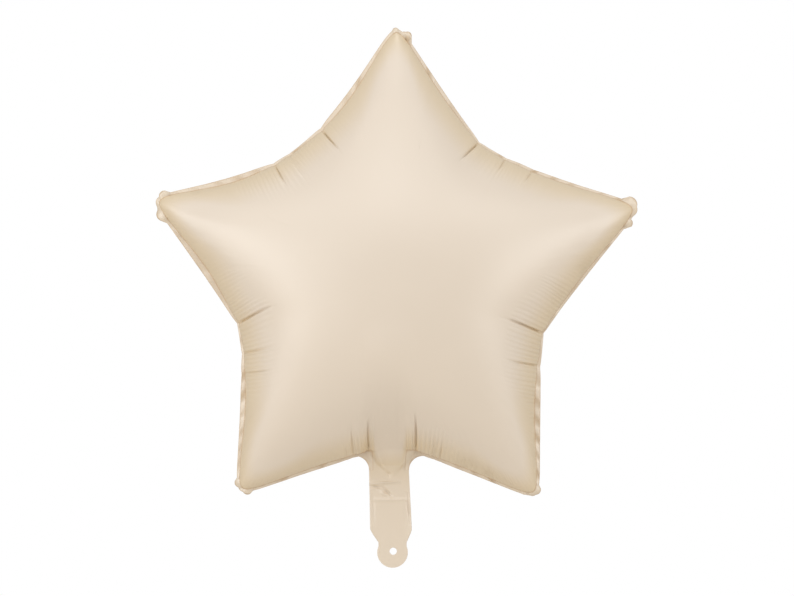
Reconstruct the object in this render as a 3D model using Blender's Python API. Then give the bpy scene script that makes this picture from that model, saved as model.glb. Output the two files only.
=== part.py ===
"""Star foil balloon: two star-shaped foil sheets sealed edge to edge and blown up.

The balloon hangs upright, its front faces -Y, and the origin is the middle of the ribbon
hole in the tail's tab. It is one closed solid: the inflated star, the flat sealed rim
around it, the swollen neck below it and the flat tail with its round tab and ribbon hole.
"""
import math

import bmesh
import bpy
import numpy as np

COLLECTION = "star_foil_balloon"
NODE = "foil_balloon"

# Corners of the flat rim's straight edges: the turn clockwise from straight up, in
# degrees, and what each corner adds to the common reach from the star's middle, in metres.
# The notches are rounded at the rim, and the film's valleys by so many times as much.
STAR_LIFT = 0.2396
STAR_SHIFT = 0.0007
TIP_REACH = 0.2365
TIP_TURNS = (0.7, 72.3, 146.0, 216.8, 289.5)
TIP_EXTRA = (0.0015, 0.0000, -0.0005, 0.0030, -0.0015)
NOTCH_REACH = 0.1405
NOTCH_TURNS = (33.5, 108.3, 179.3, 253.2, 322.6)
NOTCH_EXTRA = (0.0035, -0.0020, 0.0015, 0.0005, -0.0015)
NOTCH_ROUNDING = (0.012, 0.010, 0.013, 0.011, 0.022)
VALLEY_ROUNDING = 2.0

# The inflated film: half the depth at the middle, how sharply two edges blend across a
# notch, how full the section is, and how blunt the puffed tips are.
HALF_DEPTH = 0.092
EDGE_BLEND = 0.69
FULLNESS = 1.27
TIP_BLUNTNESS = 0.006

# The sealed rim: how far each edge bows inward and the rim's width in its middle, both
# clockwise from the top tip, the widths at tips and notches, the even width that the film
# is shaped on, how far inward the film takes to even out and its valleys to soften, and
# the rim's thickness and ruffle.
EDGE_BOWS = (0.0, 0.0016, 0.0003, 0.0, 0.0, 0.0004, 0.0006, 0.0002, 0.0013, 0.0019)
RIM_WIDTHS = (0.0032, 0.0026, 0.0026, 0.0052, 0.0028, 0.0028, 0.0044, 0.0054, 0.0048, 0.0044)
RIM_AT_TIP = -0.0004
RIM_AT_NOTCH = 0.0016
RIM_MEAN = 0.0032
RIM_EVEN_LENGTH = 0.035
VALLEY_LENGTH = 0.080
RIM_PINCHED = 0.0014
RIM_THICKNESS = 0.0005
RIM_FLARE = 0.0024
RIM_FLARE_LENGTH = 0.030
RUFFLE_HEIGHT = 0.0011
RUFFLE_LENGTHS = (0.019, 0.031)
RUFFLE_FADE = 0.012
RUFFLE_CLEAR_OF_TAIL = 0.036

# The small lobes of film at the tips: the turn and reach of the middle, the radius, and
# how far the lobe curls off the plane.
LOBES = (
    (0.35, 0.2286, 0.0031, 0.0016),
    (2.3, 0.2247, 0.0036, -0.0014),
    (3.1, 0.2246, 0.0038, -0.0014),
    (71.1, 0.2237, 0.0072, -0.0024),
    (72.3, 0.2230, 0.0065, -0.0024),
    (75.2, 0.2179, 0.0044, 0.0018),
    (145.3, 0.2240, 0.0048, 0.0020),
    (146.1, 0.2236, 0.0045, 0.0020),
    (147.7, 0.2195, 0.0032, -0.0014),
    (215.6, 0.2264, 0.0046, -0.0020),
    (218.0, 0.2256, 0.0047, 0.0020),
    (287.1, 0.2170, 0.0066, 0.0022),
    (288.4, 0.2188, 0.0056, 0.0022),
    (291.2, 0.2216, 0.0049, -0.0018),
)

# Pinch creases: the turn where each starts on the seam, the turn it runs inward at, its
# strength and its length.
CREASES = (
    (30.8, 226.8, 1.0, 0.023),
    (41.5, 211.0, 0.45, 0.013),
    (50.5, 207.0, 0.45, 0.011),
    (107.9, 292.6, 1.2, 0.036),
    (119.4, 279.5, 0.6, 0.027),
    (172.7, 0.0, 1.1, 0.034),
    (188.7, 0.0, 1.0, 0.031),
    (193.3, 353.0, 0.5, 0.027),
    (239.4, 88.0, 0.35, 0.022),
    (245.5, 79.0, 0.6, 0.024),
    (256.2, 61.6, 1.1, 0.033),
    (315.2, 151.0, 0.9, 0.021),
    (321.2, 143.0, 0.25, 0.028),
    (335.0, 138.0, 1.0, 0.024),
)
CREASE_DEPTH = 0.24
CREASE_WIDTH = 0.0028
SEAM_DIP = 0.0020
SEAM_DIP_LENGTH = 0.0065

# Fine gathers between the creases: one column of the surface stands out, the next in.
GATHER_DEPTH = 0.00035
GATHER_SWELL = 0.016
GATHER_FADE = 0.10
GATHER_ZONE = 0.046

# Spacing of the surface's columns along the seam, and its rings as shares of the way out.
STEP_AT_NOTCH = 0.0032
STEP_AT_TIP = 0.0026
STEP_ON_EDGE = 0.0070
TIP_ZONE = 0.016
FINE_RINGS = (1.0, 0.982, 0.948, 0.895, 0.82)
RINGS_AFTER_FIRST_MERGE = (0.73, 0.63)
RINGS_AFTER_SECOND_MERGE = (0.51, 0.37)
RINGS_AFTER_THIRD_MERGE = (0.20,)

# The tail: a flat strip that leans a little, narrows at its shoulder and ends in a tab.
TAIL_THICKNESS = 0.0006
TAIL_NECK_HEIGHT = 0.0729
TAIL_SHOULDER_HEIGHT = 0.0185
TAIL_NECK_MIDDLE = -0.0036
TAIL_SHOULDER_MIDDLE = -0.0020
TAIL_NECK_WIDTH = 0.0362
TAIL_SHOULDER_WIDTH = 0.0382
SHOULDER_DROP = 0.0080
TAB_RADIUS = 0.0138
TAB_MIDDLE = -0.0006
TAB_LIFT = -0.0011
TAB_THROAT = 0.0254
FLARE_RADIUS = 0.0128
FLARE_SWEEP = 100.0
TAIL_TOP_HEIGHT = 0.1060
HOLE_DIAMETER = 0.0064
HOLE_SIDES = 32

# The neck's swelling, where the gas passage opens into the star.
NECK_HALF_WIDTH = 0.0150
NECK_HALF_DEPTH = 0.0056
NECK_HALF_HEIGHT = 0.0330
NECK_LIFT = 0.0960

FOIL_COLOUR = (0.831, 0.737, 0.631)
FOIL_ROUGHNESS = 0.42
FOIL_METALLIC = 0.35


def corner(turn, reach):
    """Return the point at a clockwise turn from straight up, from the star's middle."""
    angle = math.radians(turn)
    return np.array((math.sin(angle), math.cos(angle))) * reach


def edge_line(start, end):
    """Return the outward normal and the distance of the line through two corners."""
    along = (end - start) / np.linalg.norm(end - start)
    normal = np.array((-along[1], along[0]))
    if normal @ start < 0:
        normal = -normal
    return normal, normal @ start


def rim_edges():
    """Return, for each notch, the two edge lines that meet in it."""
    tips = [corner(t, TIP_REACH + e) for t, e in zip(TIP_TURNS, TIP_EXTRA)]
    notches = [corner(t, NOTCH_REACH + e) for t, e in zip(NOTCH_TURNS, NOTCH_EXTRA)]
    return [
        (edge_line(tips[i], notches[i]), edge_line(notches[i], tips[(i + 1) % 5]))
        for i in range(5)
    ]


EDGES = rim_edges()


def smooth_step(value):
    """Return the value held between 0 and 1, eased at both ends."""
    held = np.clip(value, 0, 1)
    return held * held * (3 - 2 * held)


def along_edges(turns, in_middle, at_tip, at_notch):
    """Return a size by turn that swells along each edge, from its ends to its middle."""
    places = [turn for pair in zip(TIP_TURNS, NOTCH_TURNS) for turn in pair]
    places = np.array(places + [TIP_TURNS[0] + 360.0]) - TIP_TURNS[0]
    turn = (np.degrees(turns) - TIP_TURNS[0]) % 360
    edge = np.clip(np.searchsorted(places, turn, side="right") - 1, 0, 9)
    share = (turn - places[edge]) / (places[edge + 1] - places[edge])
    to_tip = np.where(edge % 2 == 0, 1 - share, share) ** 1.5
    ends = at_notch + (at_tip - at_notch) * smooth_step(to_tip)
    swell = np.array(in_middle)[edge] - (at_notch + at_tip) / 2
    return ends + swell * np.abs(np.sin(math.pi * to_tip)) ** 1.5


def edge_bow(turns):
    """Return how far inside its edge lines the rim ends, by turn."""
    return along_edges(turns, EDGE_BOWS, 0.0, 0.0)


def seam_inset(turns):
    """Return how far inside the edge lines the seam lies, by turn."""
    return edge_bow(turns) + along_edges(turns, RIM_WIDTHS, RIM_AT_TIP, RIM_AT_NOTCH)


def notch_field(x, z, index, inset, rounding):
    """Return a value that is positive on the star's side of one notch's two edges.

    It adds the distances inside the two edges and the length of the triangle that they
    span, which rounds the notch and blends the two edges into one valley.
    """
    (normal_a, far_a), (normal_b, far_b) = EDGES[index]
    a = far_a - inset - (normal_a[0] * x + normal_a[1] * z)
    b = far_b - inset - (normal_b[0] * x + normal_b[1] * z)
    spread = a * a + b * b - 2 * EDGE_BLEND * a * b
    return a + b + np.sqrt(spread + (rounding * NOTCH_ROUNDING[index]) ** 2)


def star_field(x, z, inset, rounding=1.0):
    """Return the product of the five notch fields, 1 at the middle and negative outside."""
    value = np.ones_like(x)
    inside = np.ones(x.shape, bool)
    for index in range(5):
        field = notch_field(x, z, index, inset, rounding)
        value = value * field / notch_field(0.0, 0.0, index, RIM_MEAN, rounding)
        inside &= field > 0
    return np.where(inside, value, -1.0)


def reach_of_field(turns, inset, level, rounding=1.0):
    """Return how far out the star field falls to a level, by halving along each ray."""
    near = np.full(turns.shape, 0.3 * NOTCH_REACH)
    far = np.full(turns.shape, 1.2 * TIP_REACH)
    for _ in range(40):
        middle = (near + far) / 2
        above = star_field(middle * np.sin(turns), middle * np.cos(turns), inset, rounding) > level
        near = np.where(above, middle, near)
        far = np.where(above, far, middle)
    return near


def turn_between(turns, other):
    """Return the signed difference of two turns in radians, between -pi and pi."""
    return (turns - other + math.pi) % (2 * math.pi) - math.pi


class Seam:
    """The line where the two films meet, as evenly turned samples for measuring along."""

    SAMPLES = 7200

    def __init__(self):
        self.turns = np.linspace(0, 2 * math.pi, self.SAMPLES, endpoint=False)
        self.reach = reach_of_field(self.turns, seam_inset(self.turns), TIP_BLUNTNESS)
        even_reach = reach_of_field(self.turns, RIM_MEAN, TIP_BLUNTNESS)
        soft_reach = reach_of_field(self.turns, RIM_MEAN, TIP_BLUNTNESS, VALLEY_ROUNDING)
        self.to_even = even_reach - self.reach
        self.to_soft = soft_reach - even_reach
        x = self.reach * np.sin(self.turns)
        z = self.reach * np.cos(self.turns)
        steps = np.hypot(np.roll(x, -1) - x, np.roll(z, -1) - z)
        self.lengths = np.concatenate(((0.0,), np.cumsum(steps)))
        self.total = self.lengths[-1]

    def length_at(self, turns):
        """Return the distance along the seam at some turns."""
        closed = np.append(self.turns, 2 * math.pi)
        return np.interp(turns % (2 * math.pi), closed, self.lengths)

    def turn_at(self, lengths):
        """Return the turns at some distances along the seam."""
        closed = np.append(self.turns, 2 * math.pi)
        return np.interp(lengths % self.total, self.lengths, closed)

    def apart(self, lengths, other):
        """Return the signed distance along the seam, the short way round."""
        return (lengths - other + self.total / 2) % self.total - self.total / 2

    def evened(self, x, z):
        """Return where points lie on the star with an even rim and soft valleys.

        Points at the seam move to that star's edge, and ones far enough inside stay.
        """
        out = np.maximum(np.hypot(x, z), 1e-9)
        turns = np.arctan2(x, z)
        reach, to_even, to_soft = (
            np.interp(turns, self.turns, values, period=2 * math.pi)
            for values in (self.reach, self.to_even, self.to_soft)
        )
        move = to_even * smooth_step(1 - (reach - out) / RIM_EVEN_LENGTH)
        move = move + to_soft * smooth_step(1 - (reach - out) / VALLEY_LENGTH)
        return x * (1 + move / out), z * (1 + move / out)


SEAM = Seam()


def crease_lines():
    """Return start point, inward heading, strength, length and seam position of creases."""
    lines = []
    for turn, inward_turn, strength, length in CREASES:
        angle = math.radians(turn)
        reach = float(np.interp(angle, SEAM.turns, SEAM.reach))
        at = float(SEAM.length_at(np.array(angle)))
        lines.append((corner(turn, reach), corner(inward_turn, 1.0), strength, length, at))
    return lines


CREASE_LINES = crease_lines()


def crease_cut(x, z):
    """Return the share of the film's height that the creases take away."""
    kept = np.ones_like(x)
    for start, heading, strength, length, _ in CREASE_LINES:
        along = (x - start[0]) * heading[0] + (z - start[1]) * heading[1]
        aside = np.abs((x - start[0]) * heading[1] - (z - start[1]) * heading[0])
        left = np.clip(1 - along / length, 0, 1)
        kept = kept * (1 - CREASE_DEPTH * strength * left ** 1.5 * np.exp(-aside / CREASE_WIDTH))
    return kept


def film_height(x, z):
    """Return the front film's distance from the middle plane.

    The square root makes the film leave the seam at a right angle to the plane, and the
    product under it keeps the arms round and the valleys between them soft.
    """
    even_x, even_z = SEAM.evened(x, z)
    value = star_field(even_x, even_z, RIM_MEAN, VALLEY_ROUNDING)
    share = np.clip((value - TIP_BLUNTNESS) / (1 - TIP_BLUNTNESS), 0, 1)
    return HALF_DEPTH * np.sqrt(1 - (1 - share) ** FULLNESS) * crease_cut(x, z)


def column_turns():
    """Return the turns of the surface's columns, closer together at tips and notches."""
    lengths = (SEAM.lengths[:-1] + SEAM.lengths[1:]) / 2
    to_notch = np.full(lengths.shape, SEAM.total)
    to_tip = np.full(lengths.shape, SEAM.total)
    for turn in NOTCH_TURNS:
        at = SEAM.length_at(np.array(math.radians(turn)))
        to_notch = np.minimum(to_notch, np.abs(SEAM.apart(lengths, at)))
    for turn in TIP_TURNS:
        at = SEAM.length_at(np.array(math.radians(turn)))
        to_tip = np.minimum(to_tip, np.abs(SEAM.apart(lengths, at)))
    step = np.full(lengths.shape, STEP_ON_EDGE)
    step = np.minimum(step, STEP_AT_NOTCH + 0.12 * np.clip(to_notch - GATHER_ZONE, 0, None))
    step = np.minimum(step, STEP_AT_TIP + 0.12 * np.clip(to_tip - TIP_ZONE, 0, None))
    running = np.concatenate(((0.0,), np.cumsum(np.diff(SEAM.lengths) / step)))
    count = int(round(running[-1] / 8)) * 8
    wanted = np.arange(count) * running[-1] / count
    return SEAM.turn_at(np.interp(wanted, running, SEAM.lengths))


def dips_along(lengths):
    """Return how strongly the creases draw the seam in, along it."""
    dip = np.zeros_like(lengths)
    for _, _, strength, _, at in CREASE_LINES:
        dip = np.maximum(dip, strength * np.exp(-np.abs(SEAM.apart(lengths, at)) / SEAM_DIP_LENGTH))
    return dip


def near_notch(lengths):
    """Return 1 by the notches, falling to 0 along the edges, for the fine gathers."""
    closeness = np.zeros_like(lengths)
    for turn in NOTCH_TURNS:
        at = SEAM.length_at(np.array(math.radians(turn)))
        share = 1 - np.abs(SEAM.apart(lengths, at)) / GATHER_ZONE
        closeness = np.maximum(closeness, np.clip(share, 0, 1))
    return np.sqrt(closeness)


def near_tip(lengths):
    """Return 1 at the tips, falling off along the edges, for the rim's flare."""
    closeness = np.zeros_like(lengths)
    for turn in TIP_TURNS:
        at = SEAM.length_at(np.array(math.radians(turn)))
        away = SEAM.apart(lengths, at) / RIM_FLARE_LENGTH
        closeness = np.maximum(closeness, np.exp(-away ** 2))
    return closeness


def lobe_reach(turns):
    """Return the reach of the far side of the tips' lobes, 0 on rays that miss them."""
    reach = np.zeros_like(turns)
    for turn, out, radius, _ in LOBES:
        between = turn_between(turns, math.radians(turn))
        half_chord = radius ** 2 - (out * np.sin(between)) ** 2
        hit = (half_chord > 0) & (np.abs(between) < 1)
        far = out * np.cos(between) + np.sqrt(np.clip(half_chord, 0, None))
        reach = np.maximum(reach, np.where(hit, far, 0.0))
    return reach


def lobe_curl(turns):
    """Return how far the lobes bend off the middle plane, to the front and to the back."""
    curl = np.zeros_like(turns)
    for turn, out, radius, bend in LOBES:
        aside = out * turn_between(turns, math.radians(turn)) / radius
        curl = curl + 0.6 * bend * np.exp(-aside ** 2)
    return curl


def ruffle(lengths, turns):
    """Return the rim's wave off the middle plane, flat where the tail leaves the star."""
    first, second = (2 * math.pi * round(SEAM.total / wave) / SEAM.total for wave in RUFFLE_LENGTHS)
    wave = 0.6 * np.sin(first * lengths) + 0.4 * np.sin(second * lengths + 1.0)
    tail_at = SEAM.length_at(np.array(math.pi))
    clear = np.clip(np.abs(SEAM.apart(lengths, tail_at)) / RUFFLE_CLEAR_OF_TAIL - 1, 0, 1)
    return RUFFLE_HEIGHT * wave * clear + lobe_curl(turns)


def strip(outer, inner):
    """Return quads between two closed rings of the same count."""
    count = len(outer)
    return [
        (outer[i], outer[(i + 1) % count], inner[(i + 1) % count], inner[i])
        for i in range(count)
    ]


def merging_strip(outer, inner):
    """Return triangles between a closed ring and one with half as many points."""
    faces = []
    count = len(inner)
    for i in range(count):
        first, middle, last = outer[2 * i], outer[2 * i + 1], outer[(2 * i + 2) % len(outer)]
        here, beyond = inner[i], inner[(i + 1) % count]
        faces += [(first, middle, here), (middle, last, beyond), (middle, beyond, here)]
    return faces


def ring_plan():
    """Return each ring's share of the way out and how many columns one of its points spans."""
    plan = [(share, 1) for share in FINE_RINGS]
    plan += [(share, 2) for share in RINGS_AFTER_FIRST_MERGE]
    plan += [(share, 4) for share in RINGS_AFTER_SECOND_MERGE]
    plan += [(share, 8) for share in RINGS_AFTER_THIRD_MERGE]
    return plan


def inflated_star():
    """Return the points and faces of the inflated star with its sealed rim.

    Every ring is the seam's outline shrunk toward the middle. The rings bunch up at the
    seam, where the film turns over, and have fewer points toward the middle.
    """
    turns = column_turns()
    lengths = SEAM.length_at(turns)
    dips = dips_along(lengths)
    gathers = near_notch(lengths) * (1 - 2 * (np.arange(len(turns)) % 2))
    seam_reach = reach_of_field(turns, seam_inset(turns), TIP_BLUNTNESS)
    seam_reach = seam_reach - SEAM_DIP * dips + GATHER_DEPTH * gathers
    rim_reach = reach_of_field(turns, edge_bow(turns), TIP_BLUNTNESS) - SEAM_DIP * dips
    rim_reach = rim_reach + RIM_FLARE * near_tip(lengths)
    rim_reach = np.maximum(rim_reach, seam_reach + RIM_PINCHED)
    rim_reach = np.maximum(rim_reach, lobe_reach(turns))
    wave = ruffle(lengths, turns)

    points = []

    def add_ring(reach, depth, middle, columns):
        first = len(points)
        for turn, out, y_off, y_mid in zip(turns[columns], reach, depth, middle):
            x = STAR_SHIFT + out * math.sin(turn)
            z = STAR_LIFT + out * math.cos(turn)
            points.append((x, y_mid + y_off, z))
        return list(range(first, len(points)))

    faces = []
    half = RIM_THICKNESS / 2
    every = slice(None)
    rim_rings = {}
    for side in (-1, 1):
        rings = [add_ring(rim_reach, np.full(turns.shape, side * half), wave, every)]
        for share, stride in ring_plan():
            columns = slice(None, None, stride)
            reach = seam_reach[columns] * share
            x = reach * np.sin(turns[columns])
            z = reach * np.cos(turns[columns])
            from_seam = seam_reach[columns] * (1 - share)
            height = film_height(x, z) if share < 1 else np.zeros_like(x)
            swell = 1 + GATHER_SWELL * gathers[columns] * max(0.0, 1 - (1 - share) / GATHER_FADE)
            middle = wave[columns] * 0.55 * np.exp(-from_seam / RUFFLE_FADE)
            rings.append(add_ring(reach, side * (half + height * swell), middle, columns))
        side_faces = []
        for outer, inner in zip(rings, rings[1:]):
            side_faces += strip(outer, inner) if len(outer) == len(inner) else merging_strip(outer, inner)
        crown = len(points)
        points.append((STAR_SHIFT, side * (half + HALF_DEPTH), STAR_LIFT))
        last = rings[-1]
        side_faces += [(last[i], last[(i + 1) % len(last)], crown) for i in range(len(last))]
        faces += side_faces if side > 0 else [face[::-1] for face in side_faces]
        rim_rings[side] = rings[0]
    faces += strip(rim_rings[-1], rim_rings[1])
    return points, faces


def arc(middle, radius, start, end, steps):
    """Return points on an arc between two angles in degrees, anticlockwise from +X."""
    angles = np.radians(np.linspace(start, end, steps))
    return [(middle[0] + radius * math.cos(a), middle[1] + radius * math.sin(a)) for a in angles]


def tail_side(side):
    """Return one side of the tail's outline, from inside the star down to the tab."""
    neck_x = TAIL_NECK_MIDDLE + side * TAIL_NECK_WIDTH / 2
    flare_middle = (neck_x + side * FLARE_RADIUS, TAIL_NECK_HEIGHT)
    if side > 0:
        flare = arc(flare_middle, FLARE_RADIUS, 180 - FLARE_SWEEP, 180, 9)
    else:
        flare = arc(flare_middle, FLARE_RADIUS, FLARE_SWEEP, 0, 9)
    top = (flare[0][0], TAIL_TOP_HEIGHT)
    shoulder = (TAIL_SHOULDER_MIDDLE + side * TAIL_SHOULDER_WIDTH / 2, TAIL_SHOULDER_HEIGHT)
    throat = (TAB_MIDDLE + side * TAB_THROAT / 2, TAIL_SHOULDER_HEIGHT - SHOULDER_DROP)
    return [top] + flare + [shoulder, throat]


def tail_outline():
    """Return the tail's flat outline: two leaning sides joined by the round tab's arc."""
    tab = (TAB_MIDDLE, TAB_LIFT)
    throat_angle = math.degrees(math.acos(TAB_THROAT / 2 / TAB_RADIUS))
    round_end = arc(tab, TAB_RADIUS, throat_angle, -180 - throat_angle, 25)
    return tail_side(1) + round_end[1:-1] + tail_side(-1)[::-1]


def foil_material():
    """Return the satin cream foil."""
    material = bpy.data.materials.new("cream_foil")
    material.use_nodes = True
    shader = material.node_tree.nodes["Principled BSDF"]
    shader.inputs["Base Color"].default_value = (*FOIL_COLOUR, 1.0)
    shader.inputs["Roughness"].default_value = FOIL_ROUGHNESS
    shader.inputs["Metallic"].default_value = FOIL_METALLIC
    material.diffuse_color = (*FOIL_COLOUR, 1.0)
    return material


def new_collection(name):
    """Return a new collection linked to the scene."""
    collection = bpy.data.collections.new(name)
    bpy.context.scene.collection.children.link(collection)
    return collection


def mesh_object(name, mesh, collection):
    """Return a new object that shows a mesh, in a collection."""
    item = bpy.data.objects.new(name, mesh)
    collection.objects.link(item)
    return item


def as_helper(item):
    """Mark an object as a cutter or a joined shape that isn't a piece of its own."""
    item.hide_render = True
    item.display_type = "WIRE"
    return item


def make_star(collection):
    """Return the inflated star as an object."""
    points, faces = inflated_star()
    mesh = bpy.data.meshes.new(NODE)
    mesh.from_pydata(points, [], faces)
    mesh.validate()
    return mesh_object(NODE, mesh, collection)


def make_tail(collection):
    """Return the flat tail, cut from sheet to its outline."""
    outline = tail_outline()
    curve = bpy.data.curves.new("tail_outline", "CURVE")
    curve.dimensions = "2D"
    curve.fill_mode = "BOTH"
    curve.extrude = TAIL_THICKNESS / 2
    spline = curve.splines.new("POLY")
    spline.points.add(len(outline) - 1)
    for point, (x, z) in zip(spline.points, outline):
        point.co = (x, z, 0.0, 1.0)
    spline.use_cyclic_u = True
    flat = bpy.data.objects.new("tail_outline", curve)
    collection.objects.link(flat)
    flat.rotation_euler = (math.pi / 2, 0.0, 0.0)
    bpy.context.view_layer.update()
    evaluated = flat.evaluated_get(bpy.context.evaluated_depsgraph_get())
    mesh = bpy.data.meshes.new_from_object(evaluated)
    sheet = bmesh.new()
    sheet.from_mesh(mesh)
    bmesh.ops.remove_doubles(sheet, verts=sheet.verts, dist=0.00001)
    bmesh.ops.recalc_face_normals(sheet, faces=sheet.faces)
    sheet.to_mesh(mesh)
    sheet.free()
    tail = mesh_object("tail_sheet", mesh, collection)
    tail.matrix_world = flat.matrix_world.copy()
    bpy.data.objects.remove(flat)
    return as_helper(tail)


def make_neck(collection):
    """Return the swelling of the gas passage between the star and the tail."""
    ball = bmesh.new()
    bmesh.ops.create_uvsphere(ball, u_segments=24, v_segments=14, radius=1.0)
    size = (NECK_HALF_WIDTH, NECK_HALF_DEPTH, NECK_HALF_HEIGHT)
    bmesh.ops.scale(ball, vec=size, verts=ball.verts)
    bmesh.ops.translate(ball, vec=(TAIL_NECK_MIDDLE, 0.0, NECK_LIFT), verts=ball.verts)
    mesh = bpy.data.meshes.new("neck_swelling")
    ball.to_mesh(mesh)
    ball.free()
    return as_helper(mesh_object("neck_swelling", mesh, collection))


def make_ribbon_hole(collection):
    """Return the cutter of the ribbon hole, longer than the tail is thick."""
    drill = bmesh.new()
    bmesh.ops.create_cone(
        drill,
        cap_ends=True,
        segments=HOLE_SIDES,
        radius1=HOLE_DIAMETER / 2,
        radius2=HOLE_DIAMETER / 2,
        depth=20 * TAIL_THICKNESS,
    )
    mesh = bpy.data.meshes.new("ribbon_hole")
    drill.to_mesh(mesh)
    drill.free()
    cutter = as_helper(mesh_object("ribbon_hole", mesh, collection))
    cutter.rotation_euler = (math.pi / 2, 0.0, 0.0)
    return cutter


def add_boolean(item, other, operation):
    """Join another object to an object, or cut it away."""
    modifier = item.modifiers.new(other.name, "BOOLEAN")
    modifier.operation = operation
    modifier.object = other
    modifier.solver = "EXACT"


def main():
    """Build the balloon."""
    for item in list(bpy.data.objects):
        bpy.data.objects.remove(item)
    parts = new_collection(COLLECTION)
    helpers = new_collection("cutters")
    balloon = make_star(parts)
    add_boolean(balloon, make_neck(helpers), "UNION")
    add_boolean(balloon, make_tail(helpers), "UNION")
    add_boolean(balloon, make_ribbon_hole(helpers), "DIFFERENCE")
    balloon.data.materials.append(foil_material())
    balloon.data.shade_smooth()
    balloon.data.set_sharp_from_angle(angle=math.radians(50))


main()
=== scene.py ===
import logging
import math
from dataclasses import dataclass, field
from enum import Enum

import bpy
import numpy as np
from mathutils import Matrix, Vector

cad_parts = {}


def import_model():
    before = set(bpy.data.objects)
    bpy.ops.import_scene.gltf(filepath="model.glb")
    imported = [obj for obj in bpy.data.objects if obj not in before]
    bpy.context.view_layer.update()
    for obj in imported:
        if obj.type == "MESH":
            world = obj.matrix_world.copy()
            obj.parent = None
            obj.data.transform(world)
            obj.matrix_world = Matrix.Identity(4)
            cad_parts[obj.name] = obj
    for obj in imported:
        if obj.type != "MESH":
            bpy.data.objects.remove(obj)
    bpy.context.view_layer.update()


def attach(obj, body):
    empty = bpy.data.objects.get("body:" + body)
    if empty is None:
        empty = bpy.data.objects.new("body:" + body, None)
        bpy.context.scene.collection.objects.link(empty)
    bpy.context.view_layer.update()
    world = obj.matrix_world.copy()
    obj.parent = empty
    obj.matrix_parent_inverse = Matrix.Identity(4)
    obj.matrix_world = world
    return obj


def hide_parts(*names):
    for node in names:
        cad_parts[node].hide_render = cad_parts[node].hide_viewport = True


"""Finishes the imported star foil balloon: its film, gathers, creases, rim and tail.

The frame stands the balloon upright with its front at -Y and the middle of the ribbon
hole at the origin. All lengths are metres and all turns are clockwise from straight up.
"""

log = logging.getLogger("star_foil_balloon")

Array = np.ndarray
Socket = bpy.types.NodeSocket

FULL_TURN = 2 * math.pi
# The film map's second value is the distance inward from the seam. The rim runs from 0 at
# the seam down to this mark at its cut edge.
RIM_MARK = -0.0055


def linear_colour(code: str) -> tuple[float, float, float, float]:
    """Turn an sRGB hex colour into linear light.

    Args:
        code: Six hex digits, with or without a leading #.

    Returns:
        Red, green and blue in linear light, and an alpha of 1.
    """
    digits = code.lstrip("#")
    shares = [int(digits[i:i + 2], 16) / 255 for i in (0, 2, 4)]
    red, green, blue = (
        c / 12.92 if c <= 0.04045 else ((c + 0.055) / 1.055) ** 2.4 for c in shares
    )
    return red, green, blue, 1.0


def smooth_step(value: Array) -> Array:
    """Return the cubic that eases from 0 at 0 to 1 at 1, flat outside."""
    share = np.clip(value, 0.0, 1.0)
    return share * share * (3 - 2 * share)


def soft_max(a: Array, b: Array, blend: Array) -> Array:
    """Return the larger of two heights, filled in where they cross.

    Args:
        a: The first height.
        b: The second height.
        blend: The length over which the corner between them is filled.

    Returns:
        Half of their sum and of the hypotenuse of their difference and the blend.
    """
    return (a + b + np.sqrt((a - b) ** 2 + blend * blend)) / 2


def polar(turn: float, reach: float) -> Array:
    """Return the x and z of a turn in degrees and a reach from the star's middle."""
    angle = math.radians(turn)
    return np.array((math.sin(angle), math.cos(angle))) * reach


def on_rays(turns: Array, reach: Array) -> tuple[Array, Array]:
    """Return the x and z of the points at some reaches on the rays at some turns."""
    return reach * np.sin(turns), reach * np.cos(turns)


def unit(vector: Array) -> Array:
    """Return a vector's direction, along its last axis."""
    return vector / np.linalg.norm(vector, axis=-1, keepdims=True)


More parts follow.
